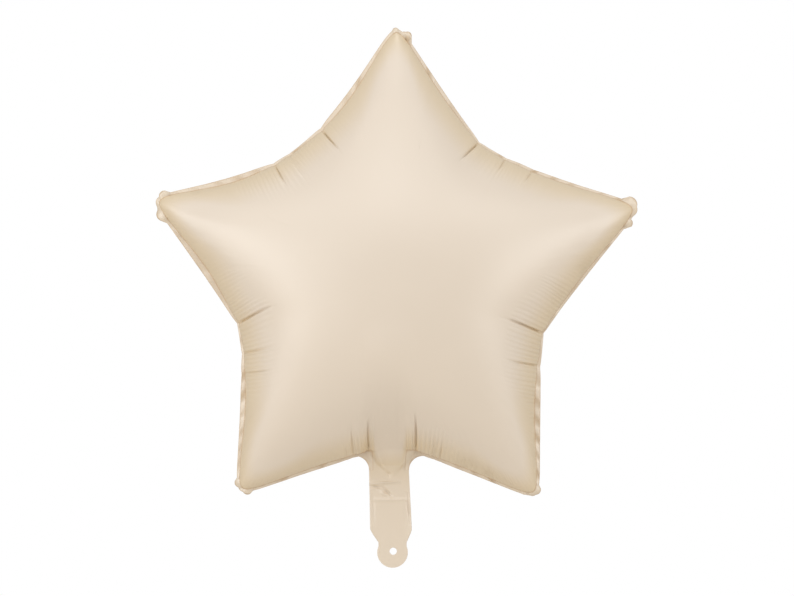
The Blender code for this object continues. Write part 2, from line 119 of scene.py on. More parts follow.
@dataclass
class StarOutline:
    """The straight-edged star that the two films are sealed on, from its ten corners."""

    lift: float = 0.2396
    shift: float = 0.0007
    tips: tuple[tuple[float, float], ...] = (
        (0.7, 0.2380), (72.3, 0.2365), (146.0, 0.2360), (216.8, 0.2395), (289.5, 0.2350),
    )
    notches: tuple[tuple[float, float, float], ...] = (
        (33.5, 0.1440, 0.012), (108.3, 0.1385, 0.010), (179.3, 0.1420, 0.013),
        (253.2, 0.1410, 0.011), (322.6, 0.1390, 0.022),
    )
    bows: tuple[float, ...] = (
        0.0, 0.0016, 0.0003, 0.0, 0.0, 0.0004, 0.0006, 0.0002, 0.0013, 0.0019,
    )
    rims: tuple[float, ...] = (
        0.0032, 0.0026, 0.0026, 0.0052, 0.0028, 0.0028, 0.0044, 0.0054, 0.0048, 0.0044,
    )
    rim_at_tip: float = 0.0010
    rim_at_notch: float = 0.0016
    rim_mean: float = 0.0032
    rim_fade: float = 0.035
    valley_rounding: float = 2.0
    valley_fade: float = 0.080
    edge_blend: float = 0.69
    bluntness: float = 0.006
    end_power: float = 1.5
    search_span: tuple[float, float] = (0.04, 0.29)
    halvings: int = 40

    def __post_init__(self) -> None:
        """Work out the outward normal and distance of the two edges at every notch."""
        tips = [polar(*tip) for tip in self.tips]
        notches = [polar(turn, reach) for turn, reach, _ in self.notches]
        self.edges = [
            (self.edge(tips[i], notches[i]), self.edge(notches[i], tips[(i + 1) % 5]))
            for i in range(5)
        ]

    def to_part(self, x: Array, z: Array) -> tuple[Array, Array]:
        """Return where points given from the star's middle lie in the part's frame."""
        return x + self.shift, z + self.lift

    def along_edges(self, turns: Array, sizes: tuple[float, ...], at_tip: float, at_notch: float) -> Array:
        """Return a size that swells along each edge, from its ends to its middle.

        Args:
            turns: Turns from straight up.
            sizes: The size in the middle of each edge, clockwise from the top tip.
            at_tip: The size at the tips.
            at_notch: The size at the notches.

        Returns:
            The size at each turn.
        """
        first = self.tips[0][0]
        corners = [turn for pair in zip(self.tips, self.notches) for turn in (pair[0][0], pair[1][0])]
        places = np.array([turn - first for turn in corners] + [360.0])
        turn = np.mod(np.degrees(turns) - first, 360.0)
        edge = np.clip(np.searchsorted(places, turn, side="right") - 1, 0, 9)
        share = (turn - places[edge]) / (places[edge + 1] - places[edge])
        to_tip = np.where(edge % 2 == 0, 1 - share, share) ** self.end_power
        ends = at_notch + (at_tip - at_notch) * smooth_step(to_tip)
        swell = np.array(sizes)[edge] - (at_notch + at_tip) / 2
        return ends + swell * np.abs(np.sin(math.pi * to_tip)) ** self.end_power

    def edge_bow(self, turns: Array) -> Array:
        """Return how far inside its straight edges the rim ends, by turn."""
        return self.along_edges(turns, self.bows, 0.0, 0.0)

    def seam_inset(self, turns: Array) -> Array:
        """Return how far inside the straight edges the seam lies, by turn."""
        return self.edge_bow(turns) + self.along_edges(turns, self.rims, self.rim_at_tip, self.rim_at_notch)

    @staticmethod
    def edge(start: Array, end: Array) -> tuple[Array, float]:
        """Return the outward normal and the distance of the line through two corners.

        Args:
            start: The first corner, from the star's middle.
            end: The second corner.

        Returns:
            The unit normal and the line's distance from the middle.
        """
        along = unit(end - start)
        normal = np.array((-along[1], along[0]))
        normal = normal if normal @ start > 0 else -normal
        return normal, float(normal @ start)

    def notch_field(self, x: Array, z: Array, index: int, inset: float, rounding: float) -> Array:
        """Return a value that is positive on the star's side of one notch's two edges.

        It is the distances inside the two edges plus the third side of the triangle that
        they span, which rounds the notch and blends the edges into one soft valley.

        Args:
            x: Distances right of the star's middle.
            z: Distances above the star's middle.
            index: Which notch, clockwise from the top.
            inset: How far the edges are moved in.
            rounding: How many times the notch's own rounding is used.

        Returns:
            The field at the points.
        """
        (normal_a, far_a), (normal_b, far_b) = self.edges[index]
        a = far_a - inset - (normal_a[0] * x + normal_a[1] * z)
        b = far_b - inset - (normal_b[0] * x + normal_b[1] * z)
        size = rounding * self.notches[index][2]
        return a + b + np.sqrt(a * a + b * b - 2 * self.edge_blend * a * b + size * size)

    def field(self, x: Array, z: Array, inset: Array | float,
              rounding: float = 1.0) -> Array:
        """Return the product of the five notch fields, 1 in the middle, -1 outside.

        Args:
            x: Distances right of the star's middle.
            z: Distances above the star's middle.
            inset: How far the edges are moved in.
            rounding: How many times the notches' own rounding is used.

        Returns:
            The field at the points.
        """
        value = np.ones_like(x)
        inside = np.ones(x.shape, bool)
        for index in range(5):
            here = self.notch_field(x, z, index, inset, rounding)
            value = value * here / self.notch_field(0.0, 0.0, index, self.rim_mean, rounding)
            inside &= here > 0
        return np.where(inside, value, -1.0)

    def reach(self, turns: Array, inset: Array | float, level: float,
              rounding: float = 1.0) -> Array:
        """Return how far out the field falls to a level, by halving along each ray.

        Args:
            turns: Turns from straight up.
            inset: How far the edges are moved in.
            level: The field's level that is looked for.
            rounding: How many times the notches' own rounding is used.

        Returns:
            The reach from the star's middle at each turn.
        """
        near, far = (np.full(turns.shape, end) for end in self.search_span)
        for _ in range(self.halvings):
            middle = (near + far) / 2
            above = self.field(*on_rays(turns, middle), inset, rounding) > level
            near = np.where(above, middle, near)
            far = np.where(above, far, middle)
        return near


@dataclass
class SeamRuler:
    """Measures along the seam, where the film leaves the flat rim."""

    outline: StarOutline
    samples: int = 14400

    def __post_init__(self) -> None:
        """Sample the seam evenly by turn and add up its length."""
        outline = self.outline
        self.turns = np.linspace(0, FULL_TURN, self.samples + 1)
        self.reaches = outline.reach(self.turns, outline.seam_inset(self.turns), outline.bluntness)
        even = outline.reach(self.turns, outline.rim_mean, outline.bluntness)
        soft = outline.reach(self.turns, outline.rim_mean, outline.bluntness, outline.valley_rounding)
        self.to_even = even - self.reaches
        self.to_soft = soft - even
        x, z = on_rays(self.turns, self.reaches)
        self.lengths = np.concatenate(((0.0,), np.cumsum(np.hypot(np.diff(x), np.diff(z)))))
        self.total = float(self.lengths[-1])
        self.notch_at, self.tip_at = (
            [float(self.length_at(math.radians(corner[0]))) for corner in corners]
            for corners in (outline.notches, outline.tips)
        )

    def length_at(self, turns: Array | float) -> Array:
        """Return the distance along the seam at some turns."""
        return np.interp(np.mod(turns, FULL_TURN), self.turns, self.lengths)

    def turn_at(self, lengths: Array | float) -> Array:
        """Return the turns at some distances along the seam."""
        return np.interp(np.mod(lengths, self.total), self.lengths, self.turns)

    def reach_at(self, turns: Array) -> Array:
        """Return the seam's reach from the star's middle at some turns."""
        return np.interp(np.mod(turns, FULL_TURN), self.turns, self.reaches)

    def apart(self, lengths: Array, other: Array | float) -> Array:
        """Return the signed distance along the seam, the short way round."""
        return np.mod(lengths - other + self.total / 2, self.total) - self.total / 2

    def evened(self, x: Array, z: Array) -> tuple[Array, Array]:
        """Return where points lie on the star with an even rim and soft valleys.

        Points at the seam move out or in to that star's edge, and the move fades inward.

        Args:
            x: Distances right of the star's middle.
            z: Distances above the star's middle.

        Returns:
            The moved points' x and z.
        """
        out = np.maximum(np.hypot(x, z), 1e-9)
        turns = np.arctan2(x, z)
        reach, to_even, to_soft = (
            np.interp(np.mod(turns, FULL_TURN), self.turns, values)
            for values in (self.reaches, self.to_even, self.to_soft)
        )
        inward = reach - out
        move = to_even * smooth_step(1 - inward / self.outline.rim_fade)
        move = move + to_soft * smooth_step(1 - inward / self.outline.valley_fade)
        return x * (1 + move / out), z * (1 + move / out)

    def to_notch(self, lengths: Array) -> Array:
        """Return the distance along the seam to the nearest inner corner."""
        return self.nearest(lengths, self.notch_at)

    def to_tip(self, lengths: Array) -> Array:
        """Return the distance along the seam to the nearest tip."""
        return self.nearest(lengths, self.tip_at)

    def nearest(self, lengths: Array, places: list[float]) -> Array:
        """Return the distance along the seam to the nearest of some places."""
        return np.min([np.abs(self.apart(lengths, place)) for place in places], axis=0)


@dataclass
class PinchCreases:
    """The sharp creases that take up the seam's spare length in the inner corners.

    Each is listed by its turn on the seam, its strength and its length.
    """

    ruler: SeamRuler
    creases: tuple[tuple[float, float, float], ...] = (
        (30.8, 1.0, 0.026), (41.5, 0.45, 0.015), (50.5, 0.45, 0.012),
        (107.9, 1.2, 0.040), (119.4, 0.6, 0.030),
        (165.3, 0.3, 0.015), (167.0, 0.35, 0.019), (172.7, 1.1, 0.038),
        (188.7, 1.0, 0.035), (193.3, 0.5, 0.030), (195.3, 0.3, 0.013),
        (239.4, 0.35, 0.025), (245.5, 0.6, 0.027), (256.2, 1.1, 0.037),
        (315.2, 0.9, 0.024), (321.2, 0.25, 0.031), (335.0, 1.0, 0.027),
    )
    groove: float = 0.0032
    groove_width: float = 0.00060
    ending: float = 0.60
    valley: float = 0.0007
    valley_width: float = 0.0044
    lip: float = 0.0005
    lip_away: float = 0.0050
    dip: float = 0.0020
    dip_length: float = 0.0060
    groove_power: float = 1.7
    lip_spread: float = 0.6

    def __post_init__(self) -> None:
        """Turn the creases' turns into distances along the seam."""
        self.marks = [
            (float(self.ruler.length_at(math.radians(turn))), strength, length)
            for turn, strength, length in self.creases
        ]

    def seam_dip(self, along: Array) -> Array:
        """Return how strongly the creases draw the seam in: a cusp at each one.

        Args:
            along: Distances along the seam.

        Returns:
            The strongest crease's share at each place.
        """
        dip = np.zeros_like(along)
        for place, strength, _ in self.marks:
            away = np.abs(self.ruler.apart(along, place))
            dip = np.maximum(dip, strength * np.exp(-away / self.dip_length))
        return dip

    def nearness(self, along: Array) -> Array:
        """Return the distance along the seam to the nearest crease."""
        return self.ruler.nearest(along, [place for place, _, _ in self.marks])

    def push(self, along: Array, inward: Array) -> Array:
        """Return how far the film stands out (or in, below 0) at each point.

        A crease is a narrow groove in the floor of a wider valley, with a low lip on
        both sides, and all fade along it.

        Args:
            along: Distance along the seam of each point's foot on it.
            inward: Distance of each point from the seam, in the gathers' direction.

        Returns:
            The push along the film's normal, in metres.
        """
        push = np.zeros_like(along)
        for place, strength, length in self.marks:
            left = np.clip(1 - inward / length, 0, 1)
            away = np.abs(self.ruler.apart(along, place))
            narrow = np.exp(-(away / self.groove_width) ** self.groove_power)
            narrow = smooth_step(left / self.ending) * narrow
            wide = np.exp(-away / (self.valley_width * (0.4 + 0.6 * strength)))
            lip = np.exp(-((away - self.lip_away) / (self.lip_spread * self.lip_away)) ** 2)
            push = push + strength * (
                self.lip * left * lip - self.groove * narrow - self.valley * left * wide
            )
        return push


@dataclass
class SeamWaves:
    """A smooth uneven wave along the seam, from sines that fit it a whole number of times."""

    ruler: SeamRuler
    seed: int
    counts: tuple[tuple[int, int, int], ...]
    weights: tuple[float, float]
    scale: float

    def __post_init__(self) -> None:
        """Draw the sines' counts, then the phase and the weight of each."""
        rng = np.random.default_rng(self.seed)
        counts = np.concatenate([rng.integers(*group) for group in self.counts])
        self.waves = [(int(n), rng.uniform(0, FULL_TURN), rng.uniform(*self.weights)) for n in counts]

    def at(self, along: Array, turn: float = 0.0) -> Array:
        """Return the wave, about -1 to 1, with every sine turned on by the same angle.

        Args:
            along: Distances along the seam.
            turn: The angle, in radians.

        Returns:
            The wave at each place.
        """
        total = np.zeros_like(along)
        for count, phase, weight in self.waves:
            total = total + weight * np.sin(count * FULL_TURN * along / self.ruler.total + phase + turn)
        return total / self.scale


@dataclass
class SeamGathers:
    """The fine gathers square to the seam, strongest by the inner corners."""

    ruler: SeamRuler
    spacing: float = 0.0037
    depth: float = 0.00046
    edge_strengths: tuple[float, ...] = (0.25, 0.35, 1.25, 1.2, 1.4, 0.8, 0.9, 0.9, 0.9, 0.25)
    depth_on_edge: float = 0.50
    depth_at_tip: float = 0.25
    tip_zone: float = 0.03
    zone: float = 0.085
    length: float = 0.030
    length_on_edge: float = 0.014
    phase_sway: float = 2.4
    strength_sway: tuple[float, float] = (0.80, 0.35)
    length_sway: tuple[float, float] = (0.90, 0.25)
    second_wave: float = 0.28
    seed: int = 19

    def __post_init__(self) -> None:
        """Draw the slow wave, and place the strengths a quarter in from each edge's ends."""
        self.slow = SeamWaves(self.ruler, self.seed, ((8, 60, 14),), (0.5, 1.0), 4.0)
        corners = np.sort([*self.ruler.tip_at, *self.ruler.notch_at])
        spans = np.diff(corners, append=corners[0] + self.ruler.total)
        self.places = (corners[:, None] + spans[:, None] * (0.25, 0.75)).ravel()

    def push(self, along: Array, inward: Array) -> Array:
        """Return how far the film stands out or in for the gathers.

        A sine along the seam with its second harmonic has round ridges and sharper
        valleys, and slow waves bend its phase and its strength.

        Args:
            along: Distance along the seam of each point's foot on it.
            inward: Distance of each point from the seam.

        Returns:
            The push along the film's normal, in metres.
        """
        total = self.ruler.total
        close = smooth_step(1 - self.ruler.to_notch(along) / self.zone)
        count = round(total / self.spacing)
        phase = count * FULL_TURN * along / total + self.phase_sway * self.slow.at(along)
        wave = np.sin(phase) + self.second_wave * np.cos(2 * phase)
        strength = self.depth_on_edge + (1 - self.depth_on_edge) * close
        strength = strength * (self.strength_sway[0] + self.strength_sway[1] * self.slow.at(along, 2.0))
        strength = strength * np.interp(along, self.places, np.repeat(self.edge_strengths, 2), period=total)
        reach = self.length_on_edge + (self.length - self.length_on_edge) * close
        reach = reach * (self.length_sway[0] + self.length_sway[1] * self.slow.at(along, 4.0))
        tip_free = smooth_step(self.ruler.to_tip(along) / self.tip_zone)
        fade = np.exp(-(inward / reach) ** 4)
        return self.depth * wave * strength * fade * (self.depth_at_tip + (1 - self.depth_at_tip) * tip_free)


@dataclass
class TipLobes:
    """The small lobes of film at the tips.

    Each is listed by the turn and reach of its middle, its radius and how far it curls.
    """

    lobes: tuple[tuple[float, float, float, float], ...] = (
        (0.35, 0.2286, 0.0031, 0.0016), (2.3, 0.2247, 0.0036, -0.0014), (3.1, 0.2246, 0.0038, -0.0014),
        (71.1, 0.2237, 0.0072, -0.0024), (72.3, 0.2230, 0.0065, -0.0024), (75.2, 0.2179, 0.0044, 0.0018),
        (145.3, 0.2240, 0.0048, 0.0020), (146.1, 0.2236, 0.0045, 0.0020), (147.7, 0.2195, 0.0032, -0.0014),
        (215.6, 0.2264, 0.0046, -0.0020), (218.0, 0.2256, 0.0047, 0.0020),
        (287.1, 0.2170, 0.0066, 0.0022), (288.4, 0.2188, 0.0056, 0.0022), (291.2, 0.2216, 0.0049, -0.0018),
    )
    pillow: float = 0.0022
    curl_beyond: float = 0.4
    curl_spread: float = 1.1

    def reach(self, turns: Array) -> Array:
        """Return the far side of the lobes' circles on each ray, 0 where a ray misses.

        Args:
            turns: Turns from straight up.

        Returns:
            The reach of the farthest circle at each turn.
        """
        out = np.zeros_like(turns)
        for turn, reach, radius, _ in self.lobes:
            between = np.mod(turns - math.radians(turn) + math.pi, FULL_TURN) - math.pi
            under = radius ** 2 - (reach * np.sin(between)) ** 2
            hit = (under > 0) & (np.abs(between) < 1)
            far = reach * np.cos(between) + np.sqrt(np.clip(under, 0, None))
            out = np.maximum(out, np.where(hit, far, 0.0))
        return out

    def puff(self, x: Array, z: Array) -> Array:
        """Return the lobes' half thickness beyond the rim's: a low pillow in each circle.

        Args:
            x: Distances right of the star's middle.
            z: Distances above the star's middle.

        Returns:
            The added half thickness at the points.
        """
        rise = np.zeros_like(x)
        for turn, reach, radius, _ in self.lobes:
            middle = polar(turn, reach)
            share = ((x - middle[0]) ** 2 + (z - middle[1]) ** 2) / radius ** 2
            rise = np.maximum(rise, self.pillow * np.sqrt(np.clip(1 - share, 0, 1)))
        return rise

    def curl(self, x: Array, z: Array) -> Array:
        """Return how far the lobes bend off the middle plane, a bell round each middle.

        Args:
            x: Distances right of the star's middle.
            z: Distances above the star's middle.

        Returns:
            The shift toward the back at the points.
        """
        bend = np.zeros_like(x)
        for turn, reach, radius, height in self.lobes:
            middle = polar(turn, reach + self.curl_beyond * radius)
            away = ((x - middle[0]) ** 2 + (z - middle[1]) ** 2) / (self.curl_spread * radius) ** 2
            bend = bend + height * np.exp(-away)
        return bend


@dataclass
class SealedRim:
    """The flat sealed rim outside the seam, ruffled where the seam has drawn it in."""

    ruler: SeamRuler
    creases: PinchCreases
    lobes: TipLobes
    thickness: float = 0.0004
    pinched: float = 0.0011
    flare: float = 0.0014
    flare_length: float = 0.030
    ruffle: float = 0.0010
    ruffle_at_seam: float = 0.45
    ruffle_growth: float = 0.75
    lean: float = 0.0007
    tail_clear: float = 0.034
    seed: int = 7

    def __post_init__(self) -> None:
        """Draw the ruffle's waves: many short ones and a few long ones."""
        self.waves = SeamWaves(self.ruler, self.seed, ((36, 96, 18), (16, 36, 10)), (0.6, 1.0), 4.2)

    def outer_reach(self, turns: Array, along: Array, seam: Array) -> Array:
        """Return the rim's outer edge: the flat star's edge, narrowed at every crease.

        Args:
            turns: The columns' turns.
            along: Their distances along the seam.
            seam: The seam's reach at them.

        Returns:
            The reach of the rim's edge from the star's middle.
        """
        outline = self.ruler.outline
        reach = outline.reach(turns, outline.edge_bow(turns), outline.bluntness)
        reach = reach - self.creases.dip * self.creases.seam_dip(along)
        to_tip = self.ruler.to_tip(along) / self.flare_length
        reach = np.maximum(reach + self.flare * np.exp(-to_tip ** 2), seam + self.pinched)
        return np.maximum(reach, self.lobes.reach(turns))

    def wave(self, along: Array) -> Array:
        """Return the ruffle's wave along the rim, about -1 to 1, flat by the tail."""
        return self.waves.at(along) * self.off_tail(along)

    def off_tail(self, along: Array) -> Array:
        """Return 0 by the tail, easing to 1 away from it."""
        away = np.abs(self.ruler.apart(along, self.ruler.length_at(math.pi)))
        return smooth_step((away - self.tail_clear) / self.tail_clear)

    def shift(self, x: Array, z: Array, share: float, along: Array, wave: Array) -> Array:
        """Return how far a rim ring stands off the middle plane: ruffle, lean and curls.

        Args:
            x: Distances right of the star's middle.
            z: Distances above the star's middle.
            share: The ring's share of the way from the seam to the rim's edge.
            along: Distances along the seam.
            wave: The ruffle's wave there.

        Returns:
            The shift toward the back.
        """
        ruffled = self.ruffle * wave * (self.ruffle_at_seam + self.ruffle_growth * share)
        leaning = self.lean * share * self.off_tail(along)
        return ruffled + leaning + share ** 2 * self.lobes.curl(x, z)


@dataclass
class Tail:
    """The flat tail below the star: neck, leaning sides, shoulder and holed tab."""

    neck_height: float = 0.0729
    shoulder_height: float = 0.0200
    drop: float = 0.0120
    drop_power: float = 1.2
    neck_middle: float = -0.0038
    shoulder_middle: float = -0.0020
    neck_width: float = 0.0358
    shoulder_width: float = 0.0376
    tab_radius: float = 0.0138
    tab_middle: float = -0.0006
    tab_lift: float = -0.0011
    throat: float = 0.0254
    flare_radius: float = 0.0128
    flare_sweep: tuple[float, float] = (-20.0, 100.0)
    hole_radius: float = 0.0032
    channel_middle: float = -0.0008
    channel_height: float = 0.0105
    channel_blend: float = 0.0230
    channel_top: float = 0.0980
    channel_end: float = 0.0640
    channel_reach: float = 0.2100
    channel_power: float = 1.2
    funnel_height: float = 0.0750
    funnel_half_width: float = 0.0083
    funnel_slope: float = 0.86
    funnel_limits: tuple[float, float] = (0.001, 0.023)
    soft_half_width: float = 0.0270
    soft_top: float = 0.1900
    soft_bottom: float = 0.1050
    soft_gain: float = 1.35
    thickness: float = 0.0004
    corner_lift: float = 0.0011
    corner_from: float = 0.008
    corner_size: float = 0.010
    hang_bow: float = 0.0006
    hang_turn: float = 2.6
    fold_end: float = 0.35
    shift_top: float = 0.0960
    shift_fade: float = 0.012
    folds: tuple[tuple[float, float, float, float, float, float], ...] = (
        (-0.0210, 0.0880, -0.0083, 0.0742, -0.0029, 0.0011),
        (-0.0150, 0.0880, -0.0110, 0.0800, -0.0018, 0.0009),
        (0.0190, 0.0880, 0.0066, 0.0765, -0.0016, 0.0010),
        (0.0118, 0.0725, 0.0088, 0.0770, 0.0011, 0.0010),
        (-0.0060, 0.0690, -0.0030, 0.0690, 0.0016, 0.0018),
        (-0.0205, 0.0610, 0.0061, 0.0625, -0.0025, 0.0009),
        (-0.0205, 0.0585, -0.0092, 0.0572, 0.0025, 0.0009),
        (-0.0092, 0.0572, -0.0011, 0.0495, 0.0022, 0.0010),
        (-0.0110, 0.0530, -0.0060, 0.0500, -0.0018, 0.0010),
        (-0.0185, 0.0460, 0.0130, 0.0466, -0.0013, 0.0011),
        (0.0125, 0.0520, 0.0150, 0.0250, 0.0022, 0.0012),
        (-0.0185, 0.0520, -0.0178, 0.0250, 0.0009, 0.0012),
    )

    def edges(self, height: Array) -> tuple[Array, Array]:
        """Return the left and right sides of the tail at some heights above the hole.

        The sides lean and widen evenly to the shoulder, curve in to the throat, and end
        in the tab's circle.

        Args:
            height: Heights above the hole.

        Returns:
            The left sides' x and the right sides' x.
        """
        share = np.clip((self.neck_height - height) / (self.neck_height - self.shoulder_height), 0, 1)
        middle = self.neck_middle + (self.shoulder_middle - self.neck_middle) * share
        half = (self.neck_width + (self.shoulder_width - self.neck_width) * share) / 2
        fall = np.clip((self.shoulder_height - height) / self.drop, 0, 1)
        half = half + (self.throat / 2 - half) * fall ** self.drop_power
        middle = middle + (self.tab_middle - middle) * fall
        chord = np.sqrt(np.clip(self.tab_radius ** 2 - (height - self.tab_lift) ** 2, 0, None))
        in_tab = height < self.tab_lift + math.sqrt(self.tab_radius ** 2 - self.throat ** 2 / 4)
        half = np.where(in_tab, chord, np.maximum(half, chord))
        middle = np.where(in_tab, self.tab_middle, middle)
        return middle - half, middle + half

    def flare_reach(self, turns: Array, outline: StarOutline) -> Array:
        """Return where rays from the star's middle meet the two flares at the neck.

        Each flare is a circle beside the tail that the sheet goes round. A ray leaves the
        sheet where it first meets the circle, as long as that is on the flare's sweep.

        Args:
            turns: The columns' turns.
            outline: The star, for its middle.

        Returns:
            The reach on each ray, 0 where there is no flare.
        """
        out = np.zeros_like(turns)
        left, right = self.edges(np.array(self.neck_height))
        for side, neck_x in ((-1, float(left)), (1, float(right))):
            middle_x = neck_x + side * self.flare_radius - outline.shift
            middle_z = self.neck_height - outline.lift
            dot = middle_x * np.sin(turns) + middle_z * np.cos(turns)
            under = dot ** 2 - (middle_x ** 2 + middle_z ** 2 - self.flare_radius ** 2)
            near = dot - np.sqrt(np.clip(under, 0, None))
            x, z = on_rays(turns, near)
            swept = np.degrees(np.arctan2(z - middle_z, -side * (x - middle_x)))
            good = (under > 0) & (dot > 0) & (self.flare_sweep[0] < swept) & (swept < self.flare_sweep[1])
            out = np.maximum(out, np.where(good, near, 0.0))
        return out

    def channel(self, x: Array, height: Array) -> Array:
        """Return how far gas swells the neck: half an ellipse across a funnel.

        The swelling fades downward, and upward well inside the star.

        Args:
            x: Distances right of the hole.
            height: Heights above the hole.

        Returns:
            The swelling's height over the middle plane.
        """
        half_width = self.funnel_half_width + self.funnel_slope * (height - self.funnel_height)
        share = np.clip((x - self.channel_middle) / np.clip(half_width, *self.funnel_limits), -1, 1)
        across = np.sqrt(1 - share ** 2)
        down = smooth_step((height - self.channel_end) / (self.channel_top - self.channel_end))
        inside = smooth_step((self.channel_reach - height) / (self.channel_reach - self.soft_top))
        return self.channel_height * across * inside * down ** self.channel_power

    def swell(self, star: Array, x: Array, height: Array) -> Array:
        """Return the film's height where the star's height meets the swollen neck."""
        neck = self.channel(x, height)
        return soft_max(star, neck, self.channel_blend * neck / self.channel_height)

    def softness(self, x: Array, height: Array) -> Array:
        """Return where the star runs on into the neck without a seam, 1 down to 0."""
        across = smooth_step(self.soft_gain * (1 - np.abs(x - self.neck_middle) / self.soft_half_width))
        return across * smooth_step((self.soft_top - height) / (self.soft_top - self.soft_bottom))

    def fold_push(self, x: Array, height: Array) -> Array:
        """Return the wrinkles' shift off the plane: a bell across each fold's line.

        Args:
            x: Distances right of the hole.
            height: Heights above the hole.

        Returns:
            The shift toward the back at the points.
        """
        push = np.zeros_like(x)
        for x_a, z_a, x_b, z_b, rise, width in self.folds:
            run_x = x_b - x_a
            run_z = z_b - z_a
            along = ((x - x_a) * run_x + (height - z_a) * run_z) / (run_x ** 2 + run_z ** 2)
            along = np.clip(along, 0, 1)
            away = np.hypot(x - x_a - along * run_x, height - z_a - along * run_z)
            taper = self.fold_end + (1 - self.fold_end) * np.sin(math.pi * np.clip(along, 0.02, 0.98))
            push = push + rise * taper * np.exp(-(away / width) ** 2)
        return push

    def bow(self, x: Array, height: Array) -> Array:
        """Return the tail's slight bow and the lift of its corners off the plane.

        Args:
            x: Distances right of the hole.
            height: Heights above the hole.

        Returns:
            The shift toward the back at the points.
        """
        hang = np.clip(1 - height / self.neck_height, 0, 2)
        corner = np.exp(-((height - self.shoulder_height) / self.corner_size) ** 2)
        outward = np.clip((x - self.corner_from) / self.corner_size, 0, 1.5)
        return self.hang_bow * np.sin(self.hang_turn * hang) - self.corner_lift * corner * outward ** 2

    def shift(self, x: Array, height: Array) -> Array:
        """Return the shift of tail and neck off the middle plane, fading into the star."""
        fade = smooth_step((self.shift_top - height) / self.shift_fade)
        return fade * (self.fold_push(x, height) + self.bow(x, height))


class FilmMesh:
    """Gathers points and faces of one closed mesh, as whole arrays."""

    def __init__(self) -> None:
        """Start with no points."""
        self.points: list[Array] = []
        self.marks: list[Array] = []
        self.quads: list[Array] = []
        self.tris: list[Array] = []
        self.count = 0

    def add(self, points: Array, marks: Array) -> Array:
        """Add points with their pattern marks.

        Args:
            points: Rows of x, y and z.
            marks: Rows of distance along the seam, distance inward, and share of seal.

        Returns:
            The new points' indices.
        """
        first = self.count
        self.points.append(points)
        self.marks.append(marks)
        self.count += len(points)
        return np.arange(first, self.count)

    def strip(self, outer: Array, inner: Array, flip: bool, closed: bool = True) -> None:
        """Join two rows of points by quads, or by triangles where one has half as many.

        Args:
            outer: The first row's indices.
            inner: The second row's indices, as many or half as many.
            flip: Whether the faces are turned over.
            closed: Whether the rows close on themselves.
        """
        if len(outer) == len(inner):
            a, b = outer, inner
            c, d = np.roll(inner, -1), np.roll(outer, -1)
            quads = np.stack((d, c, b, a) if flip else (a, b, c, d), axis=1)
            self.quads.append(quads if closed else quads[:-1])
            return
        first, middle, last = outer[0::2], outer[1::2], np.roll(outer[0::2], -1)
        here, beyond = inner, np.roll(inner, -1)
        tris = np.concatenate((
            np.stack((first, here, middle), axis=1),
            np.stack((middle, beyond, last), axis=1),
            np.stack((middle, here, beyond), axis=1),
        ))
        self.tris.append(tris[:, ::-1] if flip else tris)

    def fan(self, ring: Array, tip: int, flip: bool, closed: bool = True) -> None:
        """Join a row of points to one point by triangles.

        Args:
            ring: The row's indices.
            tip: The one point's index.
            flip: Whether the faces are turned over.
            closed: Whether the row closes on itself.
        """
        tris = np.stack((ring, np.full(len(ring), tip), np.roll(ring, -1)), axis=1)
        tris = tris if closed else tris[:-1]
        self.tris.append(tris[:, ::-1] if flip else tris)

    def to_object(self, name: str) -> bpy.types.Object:
        """Put the arrays into a new mesh object, smooth, with its marks as a UV map.

        Args:
            name: The object's name.

        Returns:
            The object, linked to the scene.
        """
        points = np.concatenate(self.points).astype(np.float32)
        marks = np.concatenate(self.marks)
        quads = np.concatenate(self.quads)
        tris = np.concatenate(self.tris)
        corners = np.concatenate((quads.ravel(), tris.ravel())).astype(np.int32)
        totals = np.concatenate((np.full(len(quads), 4), np.full(len(tris), 3))).astype(np.int32)
        starts = np.concatenate(((0,), np.cumsum(totals)[:-1])).astype(np.int32)
        mesh = bpy.data.meshes.new(name)
        mesh.vertices.add(len(points))
        mesh.vertices.foreach_set("co", points.ravel())
        mesh.loops.add(len(corners))
        mesh.loops.foreach_set("vertex_index", corners)
        mesh.polygons.add(len(totals))
        mesh.polygons.foreach_set("loop_start", starts)
        mesh.polygons.foreach_set("loop_total", totals)
        mesh.update(calc_edges=True)
        mesh.validate()
        layer = mesh.uv_layers.new(name="film")
        layer.data.foreach_set("uv", marks[corners, :2].astype(np.float32).ravel())
        seal = mesh.attributes.new("seal", "FLOAT", "POINT")
        seal.data.foreach_set("value", marks[:, 2].astype(np.float32))
        mesh.shade_smooth()
        item = bpy.data.objects.new(name, mesh)
        bpy.context.scene.collection.objects.link(item)
        log.info("%s: %d triangles", name, 2 * len(quads) + len(tris))
        return item


